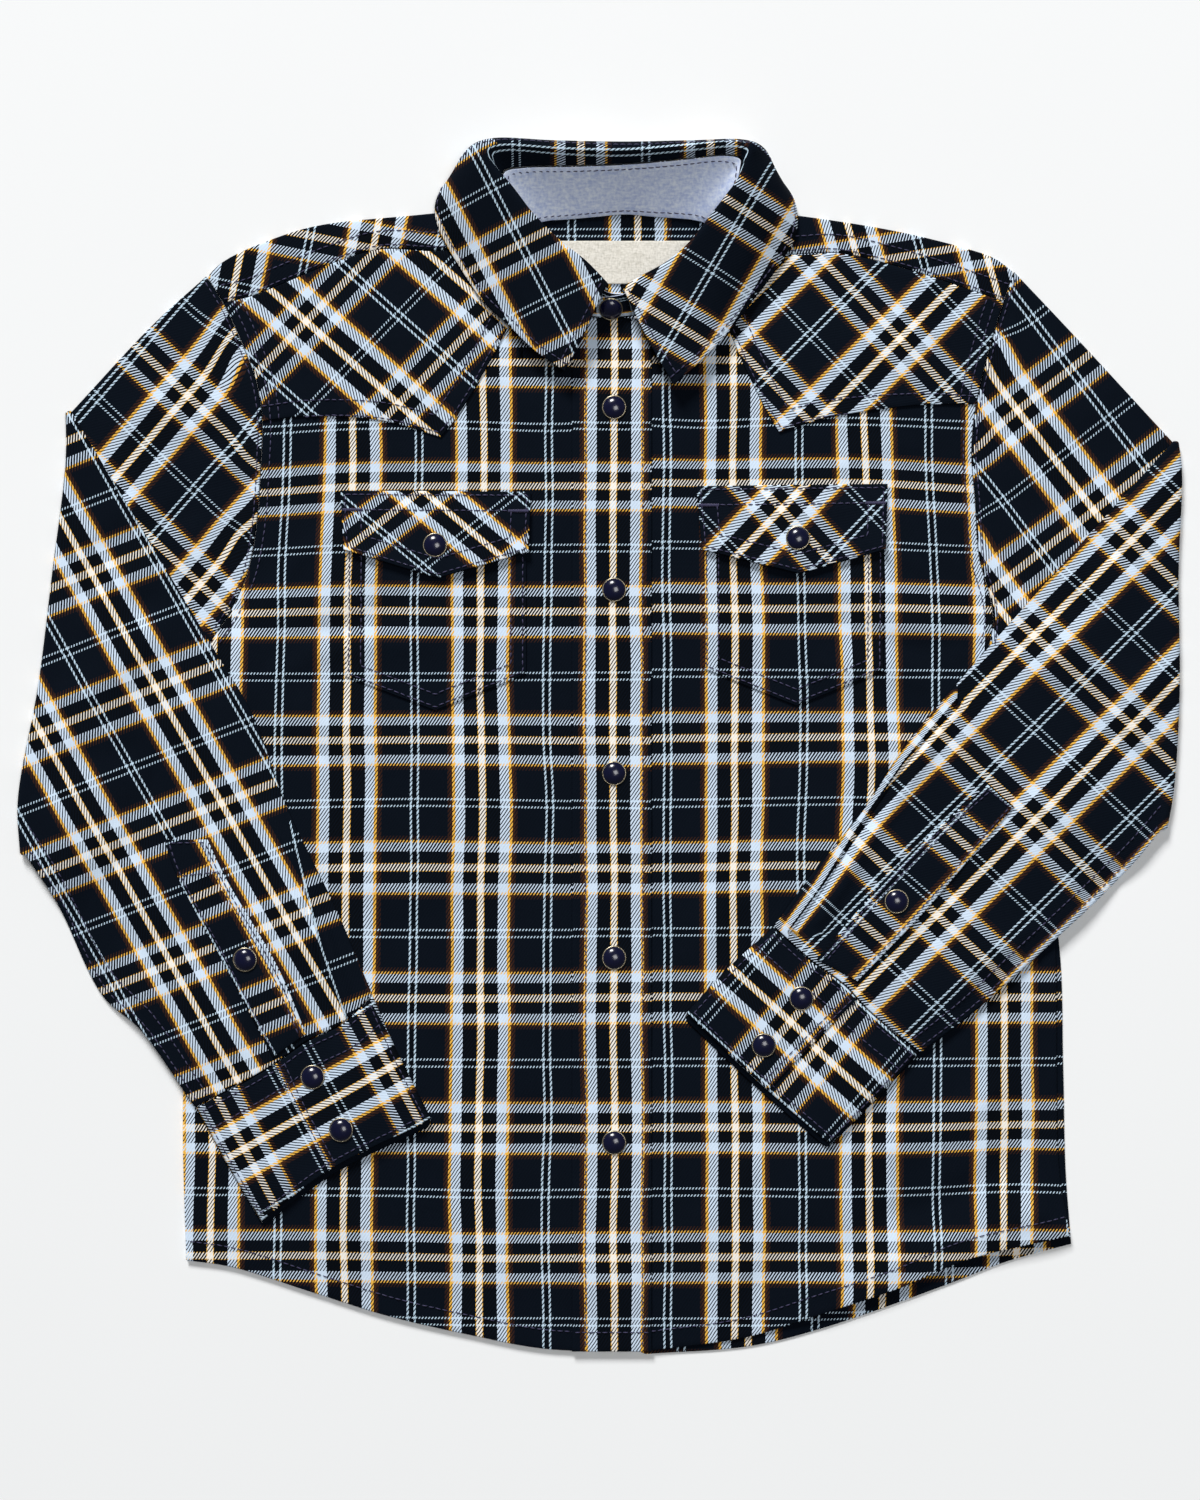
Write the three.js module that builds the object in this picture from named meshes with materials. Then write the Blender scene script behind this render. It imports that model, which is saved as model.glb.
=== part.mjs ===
// Child's western snap shirt, laid flat on its back, closed down the front, with each sleeve
// folded at the elbow so that its forearm lies over the body.
// Millimetres. X runs right and Y towards the collar as seen from above, Z up from the surface
// that the shirt lies on. The origin is on that surface, on the centre front line, half way
// between the collar's fold and the hem. Left and right are as seen from above.
import * as THREE from "three";

// Driving sizes.
const WALL = 1; // cloth
const GAP = 0.3; // clearance at seams and between layers
const LAYER = WALL + GAP; // one more layer of cloth
const FLAT_TUBE = 2 * WALL + GAP; // a sleeve pressed flat
const SEAT = 0.8; // clearance under a forearm, which bridges the small dips below it
const PUFF = 1.6; // rise of the fronts in the middle of the body
const PUFF_FADE = 42; // distance from the outline over which the fronts rise
const SLEEVE_PUFF = 1.8;
const DRAPE_SHELF = 11; // a forearm stays level this far past the edge that it lies on
const DRAPE_RUN = 30; // and reaches the floor over this distance
const CREASE_RADIUS = 0.3; // inside the elbow crease
const CREASE_STEPS = 5;
const SHOULDER_STEPS = 4; // facets round the folded top of the shoulder
const PLACKET_LEFT = -18.5;
const PLACKET_RIGHT = 16.5;
const CENTRE_SEAM = 14; // where the two fronts meet, under the placket
const STAND_SHARE = 0.62; // part of the collar's inner height that is stand
const STAND_JOIN_GAP = 0.7; // below the leaf, which turns away there
const LEAF_BOW_OUT = 3.4;
const LEAF_BOW_UP = 1;
const SNAP_FACETS = 14;

// Rows of numbers with named columns.
const table = (columns, rows) => {
  const names = columns.split(" ");
  return rows.map((row) => Object.fromEntries(names.map((name, i) => [name, row[i]])));
};

// Outlines, each from the collar end to the hem end, or from left to right.
const ARMHOLE_LEFT = table("x y", [
  [-179, 206.5],
  [-171, 193.5],
  [-163, 176],
  [-157, 160],
  [-154.5, 143],
  [-155, 125],
  [-157, 97],
  [-161, 76],
  [-168, 60],
  [-177, 46],
]);
const ARMHOLE_RIGHT = table("x y", [
  [175.5, 208.5],
  [171, 195],
  [164, 172],
  [159, 150],
  [157, 130],
  [158.5, 108],
  [160.5, 82],
  [165, 66],
  [166.5, 55],
  [164.5, 43],
]);
const SIDE_LEFT = table("x y", [
  [-177, 46],
  [-180, -40],
  [-185, -140],
  [-188, -226],
]);
const SIDE_RIGHT = table("x y", [
  [164.5, 43],
  [178, -20],
  [192, -140],
  [200, -215],
]);
const SHOULDER_LEFT = table("x y", [
  [-179, 206.5],
  [-171, 213.5],
  [-147, 224],
  [-129, 229],
  [-86, 233.5],
  [-47, 237.5],
]);
const SHOULDER_RIGHT = table("x y", [
  [51, 236.5],
  [82, 233],
  [115, 228],
  [134.5, 224],
  [152, 219.5],
  [167, 214.5],
  [175.5, 208.5],
]);
const FORWARD_SEAM_LEFT = table("x y", [
  [-171, 194],
  [-159, 197],
  [-143, 203.5],
  [-125, 211],
  [-102, 218],
  [-76, 217.5],
  [-44, 222],
]);
const FORWARD_SEAM_RIGHT = table("x y", [
  [50, 221],
  [75.5, 216],
  [97.5, 216.5],
  [122.5, 211],
  [142, 205],
  [171, 195],
]);
const BACK_NECKLINE = table("x y", [
  [-47, 237.5],
  [-36, 232.5],
  [-16, 231.5],
  [5, 234],
  [26, 232],
  [41, 232.5],
  [51, 236.5],
]);
const NECKLINE_LEFT = table("x y", [
  [-44, 222],
  [-43.5, 212],
  [-36, 202],
  [-22, 193],
  [14, 187],
]);
const NECKLINE_RIGHT = table("x y", [
  [14, 187],
  [28, 193],
  [42, 202],
  [49.5, 212],
  [50, 221],
]);
const HEM_LEFT = table("x y", [
  [-188, -226],
  [-168, -229],
  [-133, -240],
  [-99.5, -250.5],
  [-65, -258.5],
  [-30, -265],
  [14, -266],
]);
const HEM_RIGHT = table("x y", [
  [14, -266],
  [59.5, -261],
  [105, -247.5],
  [125, -241],
  [155, -226],
  [200, -215],
]);
const BACK_HEM_RIGHT = table("x y", [
  [14, -265],
  [59.5, -261],
  [102.5, -251],
  [147.5, -236],
  [172, -227],
  [200, -219],
]);
const YOKE_LOW_LEFT = table("x y", [
  [-154, 140.5],
  [-134, 143],
  [-102, 142],
  [-76, 135.5],
]);
const YOKE_FRONT_LEFT = table("x y", [
  [-45.5, 221.6],
  [-46.5, 211],
  [-41.5, 199],
  [-55.5, 167],
  [-70, 143],
  [-76, 135.5],
]);
const YOKE_LOW_RIGHT = table("x y", [
  [72.5, 137.5],
  [95, 143],
  [134.5, 146],
  [157.5, 145],
]);
const YOKE_FRONT_RIGHT = table("x y", [
  [51.5, 220.6],
  [52, 211],
  [46, 199],
  [54, 174],
  [68.5, 144],
  [72.5, 137.5],
]);

// Each sleeve, from the shoulder to the elbow crease and back to the cuff. The over edge runs
// on from the shoulder, the under edge on from the underarm.
const SLEEVES = {
  left: {
    outward: -1,
    overUpper: table("x y", [
      [-180, 207.5],
      [-204.5, 185.5],
      [-241, 147],
    ]),
    underUpper: table("x y", [
      [-177, 46],
      [-222, -4],
      [-261, -48],
    ]),
    crease: table("x y", [
      [-241, 147],
      [-241, 125],
      [-247, 75],
      [-253, 27],
      [-262, -24],
      [-261, -48],
    ]),
    overLower: table("x y", [
      [-241, 147],
      [-200, 80],
      [-177.5, 43],
      [-160, 14.5],
      [-145.5, -24],
      [-122.5, -71],
      [-106, -109],
    ]),
    underLower: table("x y", [
      [-261, -48],
      [-247.5, -68],
      [-226, -110],
      [-208.5, -125],
      [-184, -158.5],
    ]),
    cuffSeam: table("x y", [
      [-106, -109],
      [-119.5, -121.5],
      [-134.5, -129],
      [-152, -141],
      [-184, -158.5],
    ]),
    cuffOver: table("x y", [
      [-106, -109],
      [-97.5, -128.5],
      [-80, -163.5],
    ]),
    cuffUnder: table("x y", [
      [-184, -158.5],
      [-171.5, -181.5],
      [-155.5, -208.5],
    ]),
    cuffEnd: table("x y", [
      [-80, -163.5],
      [-124.5, -185.5],
      [-155.5, -208.5],
    ]),
    placketOver: table("x y", [
      [-178, -41],
      [-170.5, -57],
      [-147, -97],
      [-134.8, -126],
    ]),
    placketUnder: table("x y", [
      [-197, -41],
      [-192.5, -54.5],
      [-169, -99],
      [-149.5, -136.5],
    ]),
  },
  right: {
    outward: 1,
    overUpper: table("x y", [
      [176.5, 209.5],
      [201.5, 183.5],
      [248, 134],
    ]),
    underUpper: table("x y", [
      [164.5, 43],
      [202, 2],
      [243, -37],
    ]),
    crease: table("x y", [
      [248, 134],
      [249.5, 120],
      [248, 76],
      [248.5, 25],
      [246, -19],
      [243, -37],
    ]),
    overLower: table("x y", [
      [248, 134],
      [205, 87],
      [178, 57],
      [157, 33.5],
      [129.5, 1.5],
      [110, -28],
      [87.5, -55.5],
      [70, -79],
    ]),
    underLower: table("x y", [
      [243, -37],
      [226.5, -56],
      [198.5, -82],
      [155, -119.5],
      [134.5, -134.5],
    ]),
    cuffSeam: table("x y", [
      [70, -79],
      [86, -93.5],
      [101, -104.5],
      [112, -116],
      [134.5, -134.5],
    ]),
    cuffOver: table("x y", [
      [70, -79],
      [51, -96],
      [31.5, -117],
    ]),
    cuffUnder: table("x y", [
      [134.5, -134.5],
      [115.5, -155],
      [95.5, -175],
    ]),
    cuffEnd: table("x y", [
      [31.5, -117],
      [65, -148.5],
      [95.5, -175],
    ]),
    placketOver: table("x y", [
      [163.5, -17],
      [143, -34.5],
      [121.5, -55],
      [88.5, -93.5],
    ]),
    placketUnder: table("x y", [
      [175, -26.5],
      [159.5, -44.5],
      [138, -70],
      [106.5, -103],
    ]),
  },
};

// A cuff's wrapped band in section. Across runs from its over edge to its under edge, and the
// heights of its right side and its wrong side start from the surface below.
const CUFF_BAND = table("across face lining", [
  [0.57, 3.6, 2.6],
  [0.42, 3.6, 2.6],
  [0.26, 3.6, 2.6],
  [0.12, 3.5, 2.5],
  [0.035, 3.1, 2.1],
  [0, 1.7, 1.7],
  [0.035, 0, 1],
  [0.2, 0, 1],
  [0.42, 0, 1],
  [0.66, 0, 1],
  [0.965, 0, 1],
  [1, 1.15, 1.15],
  [0.965, 2.3, 1.3],
  [0.7, 2.3, 1.3],
  [0.5, 2.3, 1.3],
  [0.3, 2.3, 1.3],
]);

// The largest soft folds, each a ridge (or, below nought, a trough) between two points.
const BODY_FOLDS = table("x1 y1 x2 y2 half height", [
  [-170, 40, -110, 78, 15, 1.4],
  [-172, 22, -120, 8, 17, 1.5],
  [160, 38, 104, 72, 15, 1.3],
  [168, 16, 120, -4, 16, 1.4],
  [-66, -10, -60, -190, 20, 0.9],
  [52, -20, 58, -205, 20, 0.8],
  [-120, -215, -112, -150, 16, 0.9],
  [128, -232, 190, -205, 15, 1.8],
  [96, -240, 88, -150, 17, 1],
  [-28, 40, -26, -120, 14, 0.6],
]);
const SLEEVE_FOLDS = table("x1 y1 x2 y2 half height", [
  [-168, 70, -226, 118, 13, 1.3],
  [-166, 120, -204, 150, 14, 0.8],
  [-240, 88, -196, 10, 15, 1],
  [-252, 10, -214, -62, 15, 1.1],
  [-146, -62, -122, -112, 8, 1],
  [-196, -106, -172, -142, 10, 0.8],
  [166, 66, 226, 112, 13, 1.2],
  [168, 118, 206, 148, 14, 0.8],
  [236, 96, 190, 36, 15, 1],
  [238, 16, 176, -44, 15, 1.1],
  [122, -22, 92, -64, 9, 1],
  [170, -88, 138, -118, 10, 0.8],
]);

// The collar, a row for each section from the left front round the back to the right front.
// Tab rows hold only the stand, whose right end laps over its left one.
const COLLAR = table("place neckX neckY neckZ crestX crestY crestZ edgeX edgeY edgeZ", [
  ["tab under", 13, 189, 3.5, 12, 200.5, 11.6, 0, 0, 0],
  ["left front", -3, 189.4, 3.5, -3, 201, 12.6, -21.5, 163.5, 5.6],
  ["left front", -15, 191.5, 3.5, -12, 210.5, 15, -35, 173, 5.8],
  ["left side", -30, 198.5, 3.3, -22.5, 218.5, 16.6, -46, 184, 5.4],
  ["left side", -39.5, 206, 3.2, -30, 225.5, 18, -57, 194.5, 5],
  ["left side", -43.6, 214, 3.2, -37.5, 233.5, 19.2, -68, 211, 4.5],
  ["left side", -43, 221.5, 3.2, -45, 242.5, 20.2, -76, 225, 4],
  ["left back", -40, 226.5, 2.7, -52, 250.5, 20.8, -78, 238, 3],
  ["left back", -35, 229.5, 2.6, -56, 256.5, 21.2, -70.5, 250.5, 2],
  ["left back", -29, 231, 1.9, -56, 260.5, 21.4, -62, 258.5, 1.2],
  ["left back", -22, 231.6, 1.4, -49, 262.2, 21.4, -50, 261.5, 0.7],
  ["back", -9, 232.8, 1.4, -24, 260.5, 21.4, -25, 260.5, 0.6],
  ["back", 5, 234, 1.4, 5, 259.4, 21.4, 5, 259.4, 0.6],
  ["back", 17, 233, 1.4, 31, 260.5, 21.4, 32, 260.5, 0.6],
  ["right back", 28, 232.2, 1.4, 53, 261.6, 21.4, 54, 261, 0.7],
  ["right back", 34, 231.5, 1.9, 59, 259.8, 21.4, 64, 258, 1.2],
  ["right back", 40, 230, 2.6, 58, 254.5, 21.2, 72, 249, 2],
  ["right back", 45.5, 227, 2.7, 55, 246.5, 20.8, 79, 238, 3],
  ["right side", 48.8, 222, 3.2, 49.5, 239, 20.2, 79.5, 224.5, 4],
  ["right side", 49.6, 214, 3.2, 42, 230, 19.2, 71.5, 210, 4.5],
  ["right side", 45.5, 206, 3.2, 33.5, 219.5, 18, 60.5, 195, 5],
  ["right side", 36, 198.5, 3.3, 23, 210.5, 16.4, 48.5, 179.5, 5.4],
  ["right front", 22, 191.5, 4.3, 12, 204.5, 14.8, 38, 168.5, 5.8],
  ["right front", 6, 188, 5.2, 3.5, 200, 13, 26, 157.5, 5.6],
  ["tab over", -13, 187.9, 5.2, -12.2, 198, 11.6, 0, 0, 0],
]);
const NECK_CENTRE = { x: 4, y: 222 };

const POCKETS = {
  left: table("place x y", [
    ["mouth left", -117.5, 100],
    ["mouth right", -38.5, 100],
    ["foot left", -118, 30.5],
    ["foot right", -38.5, 31.5],
    ["point", -78.5, 15.5],
  ]),
  right: table("place x y", [
    ["mouth left", 39, 102],
    ["mouth right", 118.5, 102],
    ["foot left", 39, 34],
    ["foot right", 118, 33],
    ["point", 80, 17.5],
  ]),
};
const FLAPS = {
  left: table("place x y", [
    ["top left", -120, 112],
    ["top right", -36.5, 111.5],
    ["side left", -118.5, 86],
    ["side right", -37.5, 85],
    ["point", -77.5, 73.5],
  ]),
  right: table("place x y", [
    ["top left", 36, 114],
    ["top right", 120, 115],
    ["side left", 38.5, 86],
    ["side right", 119, 86],
    ["point", 81, 75.5],
  ]),
};
const LABEL = { x1: -24, x2: 38, y1: 203, y2: 222 };

// Snap caps. The stack is the number of cloth layers that lie on the panel under the cap.
const SNAPS = table("name x y on stack", [
  ["snap_front_1", 0, 148.5, "body", 1],
  ["snap_front_2", 0, 68.5, "body", 1],
  ["snap_front_3", 0, -12, "body", 1],
  ["snap_front_4", 0, -93, "body", 1],
  ["snap_front_5", 0, -174, "body", 1],
  ["snap_pocket_left", -78.5, 88, "body", 2],
  ["snap_pocket_right", 80.5, 91, "body", 2],
  ["snap_cuff_left_1", -132, -145, "forearm", 1],
  ["snap_cuff_left_2", -119.5, -168, "forearm", 1],
  ["snap_cuff_right_1", 82, -110.5, "forearm", 1],
  ["snap_cuff_right_2", 65.5, -131, "forearm", 1],
  ["snap_sleeve_left", -161.5, -93.5, "forearm", 1],
  ["snap_sleeve_right", 123.5, -68, "forearm", 1],
]);
const SNAP_PROFILE = table("radius height", [
  [0, 0],
  [4.3, 0],
  [5.2, 0.45],
  [5.2, 1],
  [4.5, 1.35],
  [2.6, 2],
  [0, 2.3],
]);
const STAND_SNAP = { x: -1.5, y: 191.2, z: 7.75, lean: 0.57 };

// Curves, as functions of the share of the length from 0 to 1.
const vector = ({ x, y, z = 0 }) => new THREE.Vector3(x, y, z);

function smooth(rows) {
  const spline = new THREE.CatmullRomCurve3(rows.map(vector), false, "centripetal");
  return (t) => spline.getPointAt(THREE.MathUtils.clamp(t, 0, 1));
}

function straight(a, b) {
  return (t) => vector(a).lerp(vector(b), t);
}

const part = (line, from, to) => (t) => line(from + (to - from) * t);
const reversed = (line) => (t) => line(1 - t);

// A curve with its ends moved to given points, the rest following in proportion.
function endingAt(line, first, last) {
  const start = first ? first.clone().sub(line(0)) : new THREE.Vector3();
  const end = last ? last.clone().sub(line(1)) : new THREE.Vector3();
  return (t) => line(t).addScaledVector(start, 1 - t).addScaledVector(end, t);
}

// Curves end to end, each with its own number of steps, so that each corner falls on a step.
function joined(...stretches) {
  const total = stretches.reduce((sum, [, steps]) => sum + steps, 0);
  return (t) => {
    let left = t * total;
    for (const [line, steps] of stretches) {
      if (left <= steps + 1e-9) return line(left / steps);
      left -= steps;
    }
    return stretches.at(-1)[0](1);
  };
}

// A patch between four edges. U runs from left to right and v from top to bottom.
function patch(top, bottom, left, right) {
  return (u, v) => {
    const point = top(u).multiplyScalar(1 - v).addScaledVector(bottom(u), v);
    point.addScaledVector(left(v), 1 - u).addScaledVector(right(v), u);
    point.addScaledVector(top(0), -(1 - u) * (1 - v)).addScaledVector(top(1), -u * (1 - v));
    return point.addScaledVector(bottom(0), -(1 - u) * v).addScaledVector(bottom(1), -u * v);
  };
}

const steps = (count) => Array.from({ length: count + 1 }, (_, i) => i / count);
const grid = (surface, columns, rows) =>
  steps(rows).map((v) => steps(columns).map((u) => surface(u, v)));

// One closed body between two like grids of points: its two faces, and a rim round each open
// edge. A ring's rows close on themselves, and cells that has() refuses are left out.
function wall(face, back, { ring = false, has = () => true } = {}) {
  const rows = face.length;
  const columns = face[0].length;
  const points = [...face.flat(), ...back.flat()];
  const index = (row, column) => row * columns + (column % columns);
  const triangles = [];
  const edges = new Set();
  const lastColumn = ring ? columns : columns - 1;
  const cells = [];
  for (let row = 0; row < rows - 1; row++)
    for (let column = 0; column < lastColumn; column++)
      if (has(row, column)) {
        const a = index(row, column);
        const b = index(row, column + 1);
        const c = index(row + 1, column + 1);
        const d = index(row + 1, column);
        cells.push([a, b, c, d]);
      }
  const behind = rows * columns;
  for (const [a, b, c, d] of cells) {
    triangles.push(a, b, c, a, c, d);
    triangles.push(a + behind, c + behind, b + behind, a + behind, d + behind, c + behind);
    for (const [p, q] of [[a, b], [b, c], [c, d], [d, a]]) edges.add(p + " " + q);
  }
  for (const edge of edges) {
    const [p, q] = edge.split(" ").map(Number);
    if (!edges.has(q + " " + p)) triangles.push(p, p + behind, q + behind, p, q + behind, q);
  }
  return facingOut(points, triangles);
}

function facingOut(points, triangles) {
  let volume = 0;
  const normal = new THREE.Vector3();
  for (let i = 0; i < triangles.length; i += 3) {
    const [a, b, c] = [0, 1, 2].map((corner) => points[triangles[i + corner]]);
    volume += a.dot(normal.crossVectors(b, c));
  }
  const order = volume < 0 ? triangles.reverse() : triangles;
  const geometry = new THREE.BufferGeometry().setFromPoints(points);
  geometry.setIndex(order);
  geometry.computeVertexNormals();
  return geometry;
}

// A sheet laid on a height function: its lower face follows the function.
function laid(surface, columns, rows, height, thickness = WALL) {
  const plan = grid(surface, columns, rows);
  const at = (extra) =>
    plan.map((row, i) =>
      row.map((p, j) => new THREE.Vector3(p.x, p.y, height(p.x, p.y, j / columns, i / rows) + extra)),
    );
  return wall(at(thickness), at(0));
}

// A sheet given by the points of one face, moved out along its own normals for the other.
function thickened(points, thickness) {
  const rows = points.length;
  const columns = points[0].length;
  const near = (i, last) => [Math.max(i - 1, 0), Math.min(i + 1, last)];
  const moved = points.map((row, i) =>
    row.map((p, j) => {
      const [up, down] = near(i, rows - 1);
      const [before, after] = near(j, columns - 1);
      const along = points[down][j].clone().sub(points[up][j]);
      const across = row[after].clone().sub(row[before]);
      return p.clone().addScaledVector(across.cross(along).normalize(), thickness);
    }),
  );
  return wall(moved, points);
}

// Distances in plan.
const ARM_STEPS = 12; // facets along an armhole
const YOKE_STEPS = 4; // of them beside the back yoke
const SIDE_STEPS = 13;
const SHOULDER_COLUMNS = 8;
const NECK_COLUMNS = 5;

const armhole = { left: smooth(ARMHOLE_LEFT), right: smooth(ARMHOLE_RIGHT) };
const side = { left: smooth(SIDE_LEFT), right: smooth(SIDE_RIGHT) };
const shoulder = { left: smooth(SHOULDER_LEFT), right: smooth(SHOULDER_RIGHT) };
const forwardSeam = {
  left: endingAt(smooth(FORWARD_SEAM_LEFT), armhole.left(1 / ARM_STEPS), null),
  right: endingAt(smooth(FORWARD_SEAM_RIGHT), null, armhole.right(1 / ARM_STEPS)),
};
const neckline = { left: smooth(NECKLINE_LEFT), right: smooth(NECKLINE_RIGHT) };
const hem = { left: smooth(HEM_LEFT), right: smooth(HEM_RIGHT) };

const sampled = (line, count) => steps(count).map(line);

const BODY_OUTLINE = [
  ...sampled(forwardSeam.left, SHOULDER_COLUMNS),
  ...sampled(neckline.left, NECK_COLUMNS),
  ...sampled(neckline.right, NECK_COLUMNS),
  ...sampled(forwardSeam.right, SHOULDER_COLUMNS),
  ...sampled(part(armhole.right, 1 / ARM_STEPS, 1), ARM_STEPS),
  ...sampled(side.right, SIDE_STEPS),
  ...sampled(reversed(hem.right), SHOULDER_COLUMNS),
  ...sampled(reversed(hem.left), SHOULDER_COLUMNS),
  ...sampled(reversed(side.left), SIDE_STEPS),
  ...sampled(reversed(part(armhole.left, 1 / ARM_STEPS, 1)), ARM_STEPS),
];

const upperArmOutline = ({ overUpper, underUpper, crease }, hole) => [
  ...sampled(smooth(overUpper), 3),
  ...sampled(smooth(crease), 6),
  ...sampled(reversed(smooth(underUpper)), 3),
  ...sampled(reversed(hole), 6),
];
const UPPER_ARMS = Object.keys(SLEEVES).map((name) =>
  upperArmOutline(SLEEVES[name], armhole[name]),
);

function distanceToStretch(x, y, a, b) {
  const lengthSquared = (b.x - a.x) ** 2 + (b.y - a.y) ** 2 || 1;
  const share = ((x - a.x) * (b.x - a.x) + (y - a.y) * (b.y - a.y)) / lengthSquared;
  const t = THREE.MathUtils.clamp(share, 0, 1);
  return Math.hypot(x - a.x - t * (b.x - a.x), y - a.y - t * (b.y - a.y));
}

// Distance past an outline, below nought inside it.
function beyond(x, y, outline) {
  let nearest = Infinity;
  let inside = false;
  outline.forEach((a, i) => {
    const b = outline[(i + 1) % outline.length];
    nearest = Math.min(nearest, distanceToStretch(x, y, a, b));
    if (a.y > y !== b.y > y && x < a.x + ((y - a.y) / (b.y - a.y)) * (b.x - a.x)) inside = !inside;
  });
  return inside ? -nearest : nearest;
}

// Heights.
const rise = (distance, run) => THREE.MathUtils.smoothstep(distance, 0, run);

function folds(rows, x, y) {
  return rows.reduce((sum, { x1, y1, x2, y2, half, height }) => {
    const distance = distanceToStretch(x, y, { x: x1, y: y1 }, { x: x2, y: y2 });
    return sum + height * Math.exp(-((distance / half) ** 2));
  }, 0);
}

function frontRelief(x, y) {
  const depth = -beyond(x, y, BODY_OUTLINE);
  return Math.max(0, PUFF * rise(depth, PUFF_FADE) + folds(BODY_FOLDS, x, y) * rise(depth, 14));
}

const frontUnder = (x, y) => LAYER + frontRelief(x, y);
const frontTop = (x, y) => frontUnder(x, y) + WALL;

// Height of whatever a forearm rests on, run out to the floor past its edge.
function forearmSeat(x, y) {
  const shelf = (distance) => 1 - rise(distance - DRAPE_SHELF, DRAPE_RUN);
  const onBody = (frontTop(x, y) + SEAT) * shelf(beyond(x, y, BODY_OUTLINE));
  const onArms = UPPER_ARMS.map((outline) => {
    const distance = beyond(x, y, outline);
    return (FLAT_TUBE + 2 * CREASE_RADIUS + upperArmRelief(x, y, distance)) * shelf(distance);
  });
  return Math.max(onBody, ...onArms);
}

function upperArmRelief(x, y, distance) {
  return folds(SLEEVE_FOLDS, x, y) * 0.5 * rise(-distance, 30);
}

const forearmRelief = (x, y, across, along) =>
  (SLEEVE_PUFF + folds(SLEEVE_FOLDS, x, y)) * rise(across * (1 - across), 0.2) * rise(along, 0.2) *
  (0.35 + 0.65 * rise(1 - along, 0.15));

// Back, flat on the surface.
function outlineSolid(points, thickness) {
  const shape = new THREE.Shape(points.map(({ x, y }) => new THREE.Vector2(x, y)));
  return new THREE.ExtrudeGeometry(shape, { depth: thickness, bevelEnabled: false });
}

function back() {
  const share = YOKE_STEPS / ARM_STEPS;
  const lower = ARM_STEPS - YOKE_STEPS;
  const hemLine = smooth(BACK_HEM_RIGHT);
  const outline = [
    ...sampled(part(armhole.left, share, 1), lower),
    ...sampled(side.left, SIDE_STEPS).slice(1),
    ...sampled(hem.left, 12).slice(1).map((p) => p.setY(p.y + 1)),
    ...sampled(hemLine, 12).slice(1),
    ...sampled(reversed(side.right), SIDE_STEPS).slice(1),
    ...sampled(reversed(part(armhole.right, share, 1)), lower).slice(1),
  ];
  return outlineSolid(outline, WALL);
}

// Back yoke: flat behind, folded over each shoulder and forward to the seam with the front.
function backYoke() {
  const share = YOKE_STEPS / ARM_STEPS;
  const inner = GAP / 2;
  const outer = WALL + inner;
  const axisZ = outer;
  const columns = 2 * SHOULDER_COLUMNS + 2 * NECK_COLUMNS;
  const neckFrom = SHOULDER_COLUMNS;
  const neckTo = SHOULDER_COLUMNS + 2 * NECK_COLUMNS;
  const topEdge = joined(
    [shoulder.left, SHOULDER_COLUMNS],
    [smooth(BACK_NECKLINE), 2 * NECK_COLUMNS],
    [shoulder.right, SHOULDER_COLUMNS],
  );
  const onArmhole = (hole) => hole(outer / hole(0).distanceTo(hole(1)));
  const axis = (u) => {
    if (u === 0) return onArmhole(armhole.left);
    if (u === 1) return onArmhole(armhole.right);
    return topEdge(u).setY(topEdge(u).y - outer);
  };
  const seamLeft = armhole.left(share).setY(armhole.left(share).y + GAP);
  const seamRight = armhole.right(share).setY(armhole.right(share).y + GAP);
  const sideCurve = (hole, end, seam) => (t) =>
    t >= 1 ? end : t <= 0 ? seam : hole(share * (1 - t)).setZ(0);
  const plate = patch(
    axis,
    straight(seamLeft, seamRight),
    (v) => sideCurve(armhole.left, axis(0), seamLeft)(1 - v),
    (v) => sideCurve(armhole.right, axis(1), seamRight)(1 - v),
  );
  const face = [];
  const lining = [];
  for (let row = 0; row <= YOKE_STEPS; row++) {
    const line = steps(columns).map((u) => plate(u, 1 - row / YOKE_STEPS));
    face.push(line.map((p) => new THREE.Vector3(p.x, p.y, 0)));
    lining.push(line.map((p) => new THREE.Vector3(p.x, p.y, WALL)));
  }
  for (let step = 1; step <= SHOULDER_STEPS; step++) {
    const turn = -Math.PI / 2 + (Math.PI * step) / SHOULDER_STEPS;
    const ring = (r) =>
      steps(columns).map((u) => {
        const p = axis(u);
        return new THREE.Vector3(p.x, p.y + r * Math.cos(turn), axisZ + r * Math.sin(turn));
      });
    face.push(ring(outer));
    lining.push(ring(inner));
  }
  for (const share of [0.5, 1]) {
    const line = steps(columns).map((u, i) => {
      const wing = i <= neckFrom ? "left" : "right";
      const along = wing === "left" ? i / SHOULDER_COLUMNS : (i - neckTo) / SHOULDER_COLUMNS;
      const seam = forwardSeam[wing](THREE.MathUtils.clamp(along, 0, 1));
      const p = axis(u);
      return p.lerp(seam.setY(seam.y + GAP), share);
    });
    const at = (z) => line.map((p) => new THREE.Vector3(p.x, p.y, z + frontRelief(p.x, p.y)));
    face.push(at(LAYER + WALL));
    lining.push(at(LAYER));
  }
  const has = (row, column) => row < YOKE_STEPS || column < neckFrom || column >= neckTo;
  return wall(face, lining, { has });
}

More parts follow.
